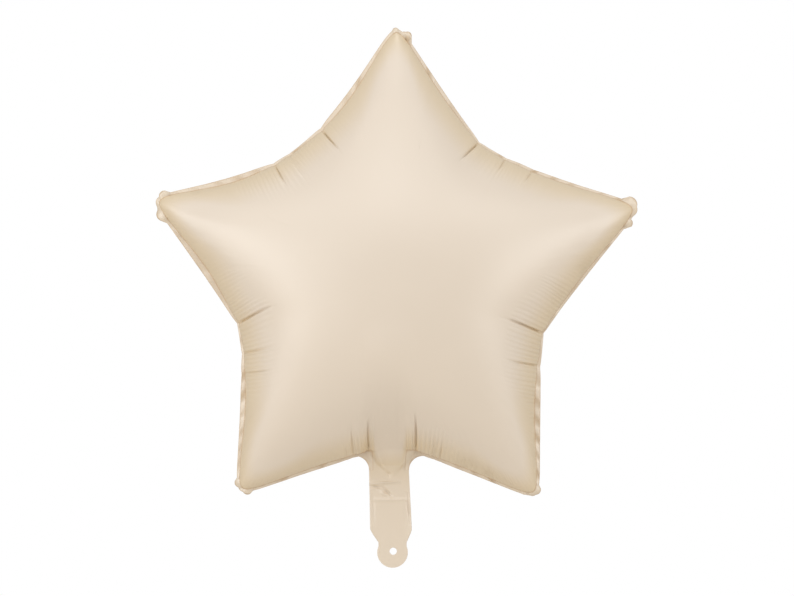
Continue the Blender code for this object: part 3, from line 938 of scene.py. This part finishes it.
@dataclass
class GatherFan:
    """Which way the gathers run inward, as a turn, by distance from each inner corner."""

    ruler: SeamRuler
    guides: tuple[tuple[tuple[float, float], ...], ...] = (
        ((-0.060, 237.0), (-0.008, 226.8), (0.0, 221.0), (0.021, 211.0), (0.048, 207.0), (0.070, 199.8)),
        ((-0.060, 308.6), (-0.030, 303.0), (-0.001, 292.6), (0.030, 279.5), (0.060, 270.9)),
        ((-0.075, 382.6), (-0.043, 375.0), (-0.030, 368.0), (-0.017, 360.0), (0.024, 360.0),
         (0.038, 352.0), (0.048, 348.0), (0.075, 341.9)),
        ((-0.060, 93.2), (-0.040, 88.0), (-0.021, 79.0), (0.008, 61.6), (0.035, 57.0), (0.060, 55.6)),
        ((-0.060, 167.5), (-0.021, 151.0), (-0.004, 143.0), (0.034, 138.4), (0.065, 125.6)),
    )
    kept: float = 0.022
    fading: float = 0.063
    leaning: float = 0.070
    easing: float = 0.045

    def headings(self, along: Array) -> tuple[Array, Array]:
        """Return the gathers' headings and the distances from the nearest inner corner.

        Args:
            along: Distances along the seam.

        Returns:
            The headings in radians and the signed distances.
        """
        offsets = np.array([self.ruler.apart(along, place) for place in self.ruler.notch_at])
        nearest = np.argmin(np.abs(offsets), axis=0)
        heading = np.zeros_like(along)
        for index, guide in enumerate(self.guides):
            away, turn = np.array(guide).T
            heading = np.where(nearest == index, np.interp(offsets[index], away, turn), heading)
        return np.radians(heading), offsets[nearest, np.arange(len(along))]


@dataclass
class SeamColumns:
    """The mesh's columns where they cross the rim, as one value for each column."""

    turns: Array
    along: Array
    seam: Array
    outer: Array
    wave: Array
    neck: Array


@dataclass
class ColumnPaths:
    """The mesh's columns: each runs from the seam to the star's middle."""

    turns: Array
    along: Array
    tangent: Array
    heading: Array
    bend: Array
    swing: Array
    straight: float = 0.12
    back: float = 0.42
    least_inward: float = 0.31

    def at(self, seam: Array, share: float, pick: slice) -> tuple[Array, ...]:
        """Return a ring's points and their place in the gathers' pattern.

        A column leaves the seam along the gathers and swings back to the straight ray by
        about half way. A point's step from its column's seam point is split into a part
        along the gathers and a part along the seam.

        Args:
            seam: The seam's reach on each column.
            share: The share of the way from the seam to the middle.
            pick: Which columns have a point on this ring.

        Returns:
            The points' x and z, their feet along the seam and their distances inward.
        """
        turns, reach = self.turns[pick], seam[pick]
        aside = share * (1 - float(smooth_step(np.array((share - self.straight) / self.back))))
        step_out = -reach * share
        step_side = reach * self.swing[pick] * aside
        step_x = step_out * np.sin(turns) - step_side * np.cos(turns)
        step_z = step_out * np.cos(turns) + step_side * np.sin(turns)
        head_x, head_z = np.sin(self.heading[pick]), np.cos(self.heading[pick])
        along_x, along_z = self.tangent[pick, 0], self.tangent[pick, 1]
        cross = head_x * along_z - head_z * along_x
        inward = (step_x * along_z - step_z * along_x) / cross
        sideways = (head_x * step_z - head_z * step_x) / cross
        foot = self.along[pick] + sideways * (1 - self.bend[pick])
        x, z = on_rays(turns, reach)
        return x + step_x, z + step_z, foot, np.maximum(inward, self.least_inward * reach * share)


@dataclass
class FoilSkin:
    """The whole film: two inflated faces, rim, neck and tail as one closed surface."""

    outline: StarOutline
    ruler: SeamRuler
    creases: PinchCreases
    gathers: SeamGathers
    rim: SealedRim
    tail: Tail
    fan: GatherFan
    half_depth: float = 0.092
    fullness: float = 1.27
    neck_softness: float = 0.12
    neck_away: float = 0.006
    crown_mark: float = 0.14
    tail_seal: float = 0.6
    neck_drop: float = 0.0150
    neck_columns: int = 38
    neck_ease: float = 5.0
    step_on_edge: float = 0.00115
    # Each of these limits is a size, its growth, and the distance where the growth starts.
    step_by_notch: tuple[float, float, float] = (0.00090, 0.02, 0.045)
    step_by_tip: tuple[float, float, float] = (0.00085, 0.05, 0.016)
    step_at_crease: tuple[float, float, float] = (0.00060, 0.15, 0.0022)
    samples: int = 20001
    seam_gather: float = 0.00022
    slope_step: float = 0.0002
    tangent_step: float = 0.0015
    most_swing: float = 0.9
    lobe_fade: float = 0.0012
    push_ease: float = 0.0016
    ruffle_fade: float = 0.010
    tail_rows: tuple[int, int, int] = (70, 21, 16)
    hole_margin: float = 0.0008
    rim_rings: tuple[float, ...] = (0.05, 0.2, 0.4, 0.6, 0.8, 1.0)
    near_rings: tuple[float, ...] = (
        0.0, 0.0011, 0.0040, 0.0088, 0.0152, 0.0228, 0.0316, 0.0416, 0.053, 0.066, 0.081,
        0.098, 0.117, 0.138, 0.161, 0.186, 0.214,
    )
    far_rings: tuple[tuple[float, ...], ...] = (
        (0.242, 0.272, 0.304, 0.338, 0.374, 0.412),
        (0.455, 0.50, 0.55, 0.60),
        (0.66, 0.72, 0.78),
        (0.85, 0.93),
    )

    def star_height(self, x: Array, z: Array) -> Array:
        """Return the inflated star's height over its middle plane.

        The share is the star's field above the tip's level. One less a power of what is
        missing from it, under a square root, leaves the seam at a right angle, keeps the
        arms round and flattens toward the middle.

        Args:
            x: Distances right of the star's middle.
            z: Distances above the star's middle.

        Returns:
            The height at the points.
        """
        level = self.outline.bluntness
        even_x, even_z = self.ruler.evened(x, z)
        value = self.outline.field(even_x, even_z, self.outline.rim_mean, self.outline.valley_rounding)
        share = np.clip((value - level) / (1 - level), 0, 1)
        soft = self.neck_softness * self.tail.softness(*self.outline.to_part(x, z))
        share = share * share / np.maximum(share + soft, 1e-9)
        return self.half_depth * np.sqrt(1 - (1 - share) ** self.fullness)

    def height(self, x: Array, z: Array) -> Array:
        """Return the film's height with the swollen neck blended in."""
        return self.tail.swell(self.star_height(x, z), *self.outline.to_part(x, z))

    def slopes(self, x: Array, z: Array) -> tuple[Array, Array]:
        """Return the height's slopes to the right and up, from short differences.

        Args:
            x: Distances right of the star's middle.
            z: Distances above the star's middle.

        Returns:
            The two slopes at the points.
        """
        step = self.slope_step
        right = (self.height(x + step, z) - self.height(x - step, z)) / (2 * step)
        up = (self.height(x, z + step) - self.height(x, z - step)) / (2 * step)
        return right, up

    def columns(self) -> Array:
        """Return the columns' turns, with the neck's last.

        The columns of the neck meet the tail's top edge at even steps. The others are
        spread along the seam. By the inner corners, the tips and the creases their steps
        stay within a size that grows beyond some distance. The count can be halved once
        for every group of far rings.

        Returns:
            The turns, the neck's from right to left.
        """
        left, right = self.tail.edges(np.array(self.tail.neck_height))
        drop = self.tail.neck_height - self.outline.lift
        across = np.linspace(float(right), float(left), self.neck_columns + 1) - self.outline.shift
        neck = np.mod(np.arctan2(across, drop), FULL_TURN)
        start = float(self.ruler.length_at(neck[-1]))
        end = float(self.ruler.length_at(neck[0])) + self.ruler.total
        fine = np.linspace(start, end, self.samples)
        step = np.full(fine.shape, self.step_on_edge)
        for (least, growth, beyond), away in (
            (self.step_by_notch, self.ruler.to_notch(fine)),
            (self.step_by_tip, self.ruler.to_tip(fine)),
            (self.step_at_crease, self.creases.nearness(fine)),
        ):
            step = np.minimum(step, least + growth * np.clip(away - beyond, 0, None))
        running = np.concatenate(((0.0,), np.cumsum(np.diff(fine) / step[:-1])))
        group = 2 ** len(self.far_rings)
        total = int(round((running[-1] + self.neck_columns) / group)) * group
        spread = total - self.neck_columns
        wanted = np.arange(spread) * running[-1] / spread
        free = self.ruler.turn_at(np.interp(wanted, running, fine))
        return np.concatenate((free, neck[:-1]))

    def seam_columns(self, turns: Array) -> SeamColumns:
        """Work out where each column crosses the seam and the rim's edge.

        The creases and the gathers draw the seam in, the neck's part of it drops toward
        the tail, and the neck's columns end at the tail's top edge.

        Args:
            turns: The columns' turns.

        Returns:
            The columns with their places along the seam, the ruffle's wave at them and
            their share of the neck.
        """
        along = self.ruler.length_at(turns)
        free = len(turns) - self.neck_columns
        in_neck = np.arange(len(turns)) >= free
        in_neck[0] = True
        flutter = self.gathers.push(along, np.zeros_like(along)) / self.gathers.depth
        dips = self.creases.dip * self.creases.seam_dip(along)
        into = np.clip((turns - turns[free]) / (turns[0] - turns[free]), 0, 1)
        neck = smooth_step(self.neck_ease * np.minimum(into, 1 - into)) * in_neck
        seam = self.ruler.reach_at(turns) - dips + self.seam_gather * flutter + self.neck_drop * neck
        outer = self.rim.outer_reach(turns, along, seam)
        outer = np.maximum(outer, self.tail.flare_reach(turns, self.outline))
        drop = self.tail.neck_height - self.outline.lift
        outer = np.where(in_neck, drop / np.cos(turns), outer)
        return SeamColumns(turns, along, seam, outer, self.rim.wave(along), neck)

    def paths(self, turns: Array, along: Array) -> ColumnPaths:
        """Lay out the columns, bent to run with the gathers by the inner corners.

        Args:
            turns: The columns' turns.
            along: Their distances along the seam.

        Returns:
            The columns' paths.
        """
        ahead = self.ruler.turn_at(along + self.tangent_step)
        behind = self.ruler.turn_at(along - self.tangent_step)
        x_a, z_a = on_rays(ahead, self.ruler.reach_at(ahead))
        x_b, z_b = on_rays(behind, self.ruler.reach_at(behind))
        tangent = unit(np.stack((x_a - x_b, z_a - z_b), axis=1))
        heading, offset = self.fan.headings(along)
        bend = 1 - smooth_step((np.abs(offset) - self.fan.kept) / self.fan.fading)
        swing = np.mod(heading - turns, FULL_TURN) - math.pi
        by_corner = 1 - smooth_step((np.abs(offset) - self.fan.leaning) / self.fan.easing)
        heading = turns + math.pi + swing * by_corner
        lean = np.tan(np.clip(swing * bend, -self.most_swing, self.most_swing))
        return ColumnPaths(turns, along, tangent, heading, bend, lean)

    def build(self) -> bpy.types.Object:
        """Build the film as one closed mesh.

        Every ring is the seam's outline shrunk toward the middle, closer together by the
        seam and with fewer points toward the middle; the rim's rings lie outside it, and
        the neck's columns run on into the tail.

        Returns:
            The object, in place.
        """
        turns = self.columns()
        columns = self.seam_columns(turns)
        paths = self.paths(turns, columns.along)
        film = FilmMesh()
        edges = {}
        for side in (-1, 1):
            rows = self.add_rim(film, side, columns)
            edges[side] = rows[0]
            rows += self.add_face(film, side, columns, paths)
            for upper, lower in zip(rows, rows[1:]):
                film.strip(upper, lower, side > 0)
            height = side * (self.rim.thickness / 2 + self.half_depth)
            crown = np.array([[self.outline.shift, height, self.outline.lift]])
            top = film.add(crown, np.array([[0.0, self.crown_mark, 0.0]]))[0]
            film.fan(rows[-1], top, side > 0)
        free = len(turns) - self.neck_columns
        film.strip(edges[-1][:free + 1], edges[1][:free + 1], True, closed=False)
        order = np.append(np.arange(free, len(turns)), 0)
        self.add_tail(film, {side: edges[side][order] for side in (-1, 1)})
        return film.to_object("foil_skin")

    def add_rim(self, film: FilmMesh, side: int, columns: SeamColumns) -> list[Array]:
        """Add one side's rim rings, the outermost first.

        Args:
            film: The mesh to add to.
            side: -1 for the front, 1 for the back.
            columns: The columns at the seam and the rim.

        Returns:
            The rings' indices.
        """
        rows = []
        seal = 1 - (1 - self.tail_seal) * columns.neck
        for share in reversed(self.rim_rings):
            reach = columns.seam + (columns.outer - columns.seam) * share
            x, z = on_rays(columns.turns, reach)
            x_part, z_part = self.outline.to_part(x, z)
            puff = self.tail.swell(np.zeros_like(x), x_part, z_part) + self.rim.lobes.puff(x, z)
            shift = self.rim.shift(x, z, share, columns.along, columns.wave) + self.tail.shift(x_part, z_part)
            y = side * (self.rim.thickness / 2 + puff) + shift
            from_seam = RIM_MARK * share * (1 - columns.neck) + self.neck_away * columns.neck
            marks = np.stack((columns.along, from_seam, seal), axis=1)
            rows.append(film.add(np.stack((x_part, y, z_part), axis=1), marks))
        return rows

    def add_face(self, film: FilmMesh, side: int, columns: SeamColumns, paths: ColumnPaths) -> list[Array]:
        """Add one side's inflated rings, from the seam inward.

        Args:
            film: The mesh to add to.
            side: -1 for the front, 1 for the back.
            columns: The columns at the seam and the rim.
            paths: The columns' paths to the middle.

        Returns:
            The rings' indices.
        """
        rows = []
        plan = [(share, 1) for share in self.near_rings]
        for level, shares in enumerate(self.far_rings):
            plan += [(share, 2 ** (level + 1)) for share in shares]
        for share, stride in plan:
            pick = slice(None, None, stride)
            gathered = 1 - columns.neck[pick]
            x, z, foot, inward = paths.at(columns.seam, share, pick)
            x_part, z_part = self.outline.to_part(x, z)
            lift = self.height(x, z) if share > 0 else self.tail.swell(np.zeros_like(x), x_part, z_part)
            lift = lift + self.rim.lobes.puff(x, z) * np.exp(-inward / self.lobe_fade)
            right, up = self.slopes(x, z)
            slant = np.sqrt(1 + right ** 2 + up ** 2)
            push = self.creases.push(foot, inward) + gathered * self.gathers.push(foot, inward)
            push = smooth_step(inward / self.push_ease) * push
            ruffle = self.rim.ruffle_at_seam * self.rim.ruffle * columns.wave[pick]
            y = side * (self.rim.thickness / 2 + lift + push / slant)
            y = y + ruffle * np.exp(-inward / self.ruffle_fade) + self.tail.shift(x_part, z_part)
            x_part = x_part - right / slant * push
            z_part = z_part - up / slant * push
            from_seam = inward + self.neck_away * (1 - gathered)
            marks = np.stack((foot, from_seam, np.zeros_like(foot)), axis=1)
            rows.append(film.add(np.stack((x_part, y, z_part), axis=1), marks))
        return rows

    def add_tail(self, film: FilmMesh, top: dict[int, Array]) -> None:
        """Add the tail below the neck, with its round hole.

        The rows go down from the neck to the tab's end. Rows that pass the hole are
        split in two, and the split opens to the hole's circle.

        Args:
            film: The mesh to add to.
            top: The neck's points, right to left, of the front and the back.
        """
        tail = self.tail
        radius = tail.hole_radius
        rows_above, rows_beside, rows_below = self.tail_rows
        above = np.linspace(tail.neck_height, radius + self.hole_margin, rows_above)[1:]
        beside = radius * np.cos(np.linspace(0, math.pi, rows_beside))
        low = math.asin((tail.tab_lift + radius) / tail.tab_radius)
        turns = np.linspace(low, math.pi / 2, rows_below)[1:-1]
        below = tail.tab_lift - tail.tab_radius * np.sin(turns)
        heights = np.concatenate((above, beside, below))
        left, right = tail.edges(heights)
        open_half = np.sqrt(np.clip(radius ** 2 - heights ** 2, 0, None))
        open_half[np.abs(heights) > radius * 0.999] = 0.0
        centre = (self.neck_columns + 1) // 2
        ease = smooth_step((tail.neck_height - heights) / (tail.neck_height - radius))
        below_hole = np.clip(-heights / (tail.tab_radius - tail.tab_lift), 0, 1)
        middle = tail.neck_middle * (1 - ease) + tail.tab_middle * below_hole ** 2
        share_left = np.arange(centre + 1) / centre
        share_right = 1 - share_left
        sides = {}
        for side in (-1, 1):
            flip = side > 0
            right_rows, left_rows = [top[side][:centre + 1]], [top[side][centre:]]
            for row, height in enumerate(heights):
                inner_right = middle[row] + open_half[row]
                inner_left = middle[row] - open_half[row]
                x_right = inner_right + (right[row] - inner_right) * share_right
                x_left = inner_left + (left[row] - inner_left) * share_left
                right_rows.append(self.tail_points(film, side, x_right, height))
                if open_half[row] > 0:
                    left_rows.append(self.tail_points(film, side, x_left, height))
                else:
                    rest = self.tail_points(film, side, x_left[1:], height)
                    left_rows.append(np.append(right_rows[-1][-1], rest))
            for rows in (right_rows, left_rows):
                for upper, lower in zip(rows, rows[1:]):
                    film.strip(lower, upper, flip, closed=False)
            end = self.tail_points(film, side, np.array([tail.tab_middle]),
                                   tail.tab_lift - tail.tab_radius)[0]
            last = np.concatenate((right_rows[-1], left_rows[-1][1:]))
            film.fan(last, end, not flip, closed=False)
            rim = [rows[0] for rows in right_rows] + [end] + [rows[-1] for rows in left_rows[::-1]]
            first_hole = len(above)
            last_hole = first_hole + len(beside) - 1
            hole_right = [rows[-1] for rows in right_rows[first_hole + 1:last_hole + 2]]
            hole_left = [rows[0] for rows in left_rows[first_hole + 1:last_hole + 2]]
            hole = hole_right + hole_left[-2:0:-1]
            sides[side] = (np.array(rim), np.array(hole))
        film.strip(sides[-1][0], sides[1][0], True, closed=False)
        film.strip(sides[-1][1], sides[1][1], False)

    def tail_points(self, film: FilmMesh, side: int, x: Array, height: float) -> Array:
        """Add one row of the tail's points and return their indices.

        Args:
            film: The mesh to add to.
            side: -1 for the front, 1 for the back.
            x: The points' distances right of the hole.
            height: The row's height above the hole.

        Returns:
            The points' indices.
        """
        heights = np.full_like(x, height)
        puff = self.tail.swell(np.zeros_like(x), x, heights)
        y = side * (self.tail.thickness / 2 + puff) + self.tail.shift(x, heights)
        from_seam = self.neck_away + self.tail.neck_height - heights
        marks = np.stack((x, from_seam, np.full_like(x, self.tail_seal)), axis=1)
        return film.add(np.stack((x, y, heights), axis=1), marks)


def add_node(tree: bpy.types.NodeTree, kind: str, settings: dict | None = None,
             links: dict | None = None) -> bpy.types.Node:
    """Add a node with its settings and its incoming links.

    Args:
        tree: The tree that takes the node.
        kind: The node's type.
        settings: Attribute names or input names (or places), with their values.
        links: Input names (or places), each with the socket that feeds it.

    Returns:
        The new node.
    """
    node = tree.nodes.new(kind)
    for name, value in (settings or {}).items():
        if isinstance(name, str) and hasattr(node, name):
            setattr(node, name, value)
        else:
            node.inputs[name].default_value = value
    for name, socket in (links or {}).items():
        tree.links.new(socket, node.inputs[name])
    return node


def ramp(tree: bpy.types.NodeTree, value: Socket, span: tuple[float, float],
         ends: tuple[float, float], smooth: bool = False) -> Socket:
    """Map one span of a value to another, held outside it.

    Args:
        tree: The tree that takes the node.
        value: The socket with the value.
        span: The values that give the first end and the second.
        ends: What they give.
        smooth: Whether the ramp eases at both ends.

    Returns:
        The socket with the mapped value.
    """
    kind = "SMOOTHSTEP" if smooth else "LINEAR"
    settings = {"interpolation_type": kind, 1: span[0], 2: span[1], 3: ends[0], 4: ends[1]}
    return add_node(tree, "ShaderNodeMapRange", settings, {0: value}).outputs[0]


def tint(tree: bpy.types.NodeTree, share: Socket, colour: str,
         under: Socket | str) -> Socket:
    """Lay a colour over another one by a share.

    Args:
        tree: The tree that takes the node.
        share: The socket with the share of the upper colour.
        colour: The upper colour's hex code.
        under: The socket or the hex code of the lower colour.

    Returns:
        The socket with the mixed colour.
    """
    settings = {"data_type": "RGBA", "blend_type": "MIX", 7: linear_colour(colour)}
    if isinstance(under, str):
        return add_node(tree, "ShaderNodeMix", {**settings, 6: linear_colour(under)}, {0: share}).outputs[2]
    return add_node(tree, "ShaderNodeMix", settings, {0: share, 6: under}).outputs[2]


def noise(tree: bpy.types.NodeTree, place: Socket, size: float,
          detail: float) -> Socket:
    """Return a noise of some feature size, in metres, as a socket."""
    settings = {"Scale": 1 / size, "Detail": detail}
    return add_node(tree, "ShaderNodeTexNoise", settings, {"Vector": place}).outputs["Fac"]


def empty_material(name: str) -> bpy.types.Material:
    """Return a new material whose node tree is empty.

    Args:
        name: The material's name.

    Returns:
        The material.
    """
    material = bpy.data.materials.new(name)
    material.use_nodes = True
    material.node_tree.nodes.clear()
    return material


@dataclass(frozen=True)
class PastelFoil:
    """Metallised nylon film under a pale satin print, heat-sealed at the rim.

    The print hides the metal, so the eye gets a soft wide gloss and no mirror. The metal
    under it still sends back more light than bare plastic, hence the high index.
    """

    name: str = "pastel_foil"
    colour: str = "#DECEBA"
    # Painted shade by the seam: its darker cream and how far inward it reaches.
    painted_seam_shade_colour: str = "#DAC4A0"
    painted_seam_shade_reach: float = 0.026
    seal_colour: str = "#DECCB2"
    # Painted shade lines at the weld and the rim's cut edge: colour, widths and strength.
    painted_edge_shade_colour: str = "#C4A273"
    painted_weld_shade_width: float = 0.0011
    painted_cut_shade_width: float = 0.0014
    painted_edge_shade_strength: float = 0.75
    cloud_size: float = 1 / 9
    cloud_shades: tuple[float, float] = (0.985, 1.015)
    roughness: float = 0.42
    roughness_sway: float = 0.03
    metallic: float = 0.0
    ior: float = 2.40
    film_ripple: float = 0.016
    ripple_height: float = 0.00006
    print_grain: float = 0.0009

    def build(self) -> bpy.types.Material:
        """Return the film's material."""
        material = empty_material(self.name)
        tree = material.node_tree
        place = add_node(tree, "ShaderNodeTexCoord").outputs["Object"]
        bump = add_node(tree, "ShaderNodeBump", {"Strength": 1.0, "Distance": self.ripple_height},
                        {"Height": noise(tree, place, self.film_ripple, 1.0)})
        # The print's grain makes the gloss a little uneven, so its edge is soft.
        gloss_ends = (self.roughness - self.roughness_sway, self.roughness + self.roughness_sway)
        gloss = ramp(tree, noise(tree, place, self.print_grain, 1.0), (0.25, 0.75), gloss_ends)
        shader = add_node(tree, "ShaderNodeBsdfPrincipled", {"Metallic": self.metallic, "IOR": self.ior}, {
            "Base Color": self.shade(tree, place), "Roughness": gloss, "Normal": bump.outputs[0],
        })
        add_node(tree, "ShaderNodeOutputMaterial", {}, {"Surface": shader.outputs[0]})
        return material

    def shade(self, tree: bpy.types.NodeTree, place: Socket) -> Socket:
        """Build the print's colour.

        Args:
            tree: The tree that takes the nodes.
            place: The socket with the Object coordinates.

        Returns:
            The socket with the colour.
        """
        film_place = add_node(tree, "ShaderNodeUVMap", {"uv_map": "film"}).outputs["UV"]
        inward = add_node(tree, "ShaderNodeSeparateXYZ", {}, {0: film_place}).outputs["Y"]
        seal = add_node(tree, "ShaderNodeAttribute", {"attribute_name": "seal"}).outputs["Fac"]
        # Painted shade: by the seam, where the film is drawn into gathers, the cream is mixed
        # toward a darker, warmer tone that stands in for the shade there.
        drawn = ramp(tree, inward, (0.0, self.painted_seam_shade_reach), (1.0, 0.0), smooth=True)
        tone = tint(tree, drawn, self.painted_seam_shade_colour, self.colour)
        # The sealed film lies flat on its twin, and the doubled print is a little warmer.
        tone = tint(tree, seal, self.seal_colour, tone)
        # Painted shade: thin darker lines at the weld's inner line and at the rim's curled cut edge.
        from_weld = add_node(tree, "ShaderNodeMath", {"operation": "ABSOLUTE"}, {0: inward}).outputs[0]
        strengths = (self.painted_edge_shade_strength, 0.0)
        weld_shade = ramp(tree, from_weld, (0.0, self.painted_weld_shade_width), strengths, smooth=True)
        cut = ramp(tree, inward, (RIM_MARK, RIM_MARK + self.painted_cut_shade_width), strengths, smooth=True)
        line = add_node(tree, "ShaderNodeMath", {"operation": "MAXIMUM"}, {0: weld_shade, 1: cut}).outputs[0]
        tone = tint(tree, line, self.painted_edge_shade_colour, tone)
        # A faint cloud keeps the large faces from looking evenly sprayed.
        uneven = ramp(tree, noise(tree, place, self.cloud_size, 2.0), (0.3, 0.7), self.cloud_shades)
        scale = add_node(tree, "ShaderNodeVectorMath", {"operation": "SCALE"}, {0: tone, "Scale": uneven})
        return scale.outputs[0]


@dataclass(frozen=True)
class StagePaper:
    """Uncoated studio paper, rolled smooth: it spreads the light and shows no gloss."""

    name: str = "studio_paper"
    colour: str = "#E9E4DC"
    roughness: float = 0.9

    def build(self) -> bpy.types.Material:
        """Return the paper's material."""
        material = empty_material(self.name)
        tree = material.node_tree
        shader = add_node(tree, "ShaderNodeBsdfPrincipled", {
            "Base Color": linear_colour(self.colour), "Roughness": self.roughness,
        })
        add_node(tree, "ShaderNodeOutputMaterial", {}, {"Surface": shader.outputs[0]})
        return material


class Lamp(Enum):
    """The studio's soft boxes: degrees right of the camera, degrees up, and watts."""

    FRONT_LEFT = (-35, 0, 4.8)
    FRONT_TOP = (0, 35, 7.4)
    LEFT = (-62, 0, 10.7)
    RIGHT = (62, 0, 10.6)
    HIGH_LEFT = (-50, 40, 4.6)
    HIGH_RIGHT = (50, 40, 4.6)
    TOP = (0, 92, 7.7)


@dataclass
class Studio:
    """The pale floor, the white room round it, the soft boxes and the photo's camera."""

    paper: StagePaper = field(default_factory=StagePaper)
    pixel: float = 0.0009
    image_width: int = 794
    image_height: int = 596
    hole_pixel: tuple[float, float] = (393.2, 551.2)
    camera_distance: float = 4.5
    floor_height: float = -0.34
    floor_half: float = 3.0
    sensor: float = 36.0
    lamp_size: float = 1.5
    lamp_away: float = 2.4
    aim_height: float = 0.24
    ambient: float = 0.61

    def build(self) -> None:
        """Build floor, room, lamps and camera."""
        self.floor()
        self.world()
        for lamp in Lamp:
            self.lamp(lamp)
        self.camera()

    def floor(self) -> None:
        """Lay the flat floor below the balloon."""
        half, low = self.floor_half, self.floor_height
        mesh = bpy.data.meshes.new("floor")
        corners = ((-half, -half, low), (half, -half, low), (half, half, low), (-half, half, low))
        mesh.from_pydata(corners, [], [(0, 1, 2, 3)])
        mesh.materials.append(self.paper.build())
        item = bpy.data.objects.new("floor", mesh)
        bpy.context.scene.collection.objects.link(item)

    def world(self) -> None:
        """Light the room evenly. The camera sees it white."""
        world = bpy.data.worlds.new("studio")
        bpy.context.scene.world = world
        world.use_nodes = True
        tree = world.node_tree
        tree.nodes.clear()
        seen = add_node(tree, "ShaderNodeLightPath").outputs["Is Camera Ray"]
        room, white = (
            add_node(tree, "ShaderNodeBackground", {"Color": (1, 1, 1, 1), "Strength": strength}).outputs[0]
            for strength in (self.ambient, 1.0)
        )
        mix = add_node(tree, "ShaderNodeMixShader", {}, {0: seen, 1: room, 2: white})
        add_node(tree, "ShaderNodeOutputWorld", {}, {"Surface": mix.outputs[0]})

    def lamp(self, lamp: Lamp) -> None:
        """Add one soft box, turned to the balloon's middle.

        Args:
            lamp: Which soft box.
        """
        side, rise, power = lamp.value
        light = bpy.data.lights.new(lamp.name.lower(), "AREA")
        light.shape = "SQUARE"
        light.size = self.lamp_size
        light.energy = power
        item = bpy.data.objects.new(lamp.name.lower(), light)
        side, rise = math.radians(side), math.radians(rise)
        level = math.cos(rise)
        toward = Vector((math.sin(side) * level, -math.cos(side) * level, math.sin(rise)))
        item.location = Vector((0.0, 0.0, self.aim_height)) + self.lamp_away * toward
        item.rotation_euler = (-toward).to_track_quat("-Z", "Y").to_euler()
        bpy.context.scene.collection.objects.link(item)

    def camera(self) -> None:
        """Aim a long lens square at the balloon, with the photo's framing."""
        lens = bpy.data.cameras.new("camera")
        lens.sensor_width = self.sensor
        lens.lens = self.sensor * self.camera_distance / (self.image_width * self.pixel)
        item = bpy.data.objects.new("camera", lens)
        right = (self.image_width / 2 - self.hole_pixel[0]) * self.pixel
        up = (self.hole_pixel[1] - self.image_height / 2) * self.pixel
        item.location = (right, -self.camera_distance, up)
        item.rotation_euler = (math.pi / 2, 0.0, 0.0)
        bpy.context.scene.collection.objects.link(item)
        bpy.context.scene.camera = item


def make_balloon() -> bpy.types.Object:
    """Build the balloon's film and dress it.

    Returns:
        The film's object.
    """
    outline = StarOutline()
    ruler = SeamRuler(outline)
    creases = PinchCreases(ruler)
    rim = SealedRim(ruler, creases, TipLobes())
    skin = FoilSkin(outline, ruler, creases, SeamGathers(ruler), rim, Tail(), GatherFan(ruler))
    film = skin.build()
    film.data.materials.append(PastelFoil().build())
    return film


def main() -> None:
    """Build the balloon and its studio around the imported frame."""
    logging.basicConfig(level=logging.INFO, format="%(message)s")
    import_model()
    bpy.context.scene.view_settings.view_transform = "Standard"
    film = make_balloon()
    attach(film, "root")
    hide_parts("foil_balloon")
    Studio().build()


if __name__ == "__main__":
    main()
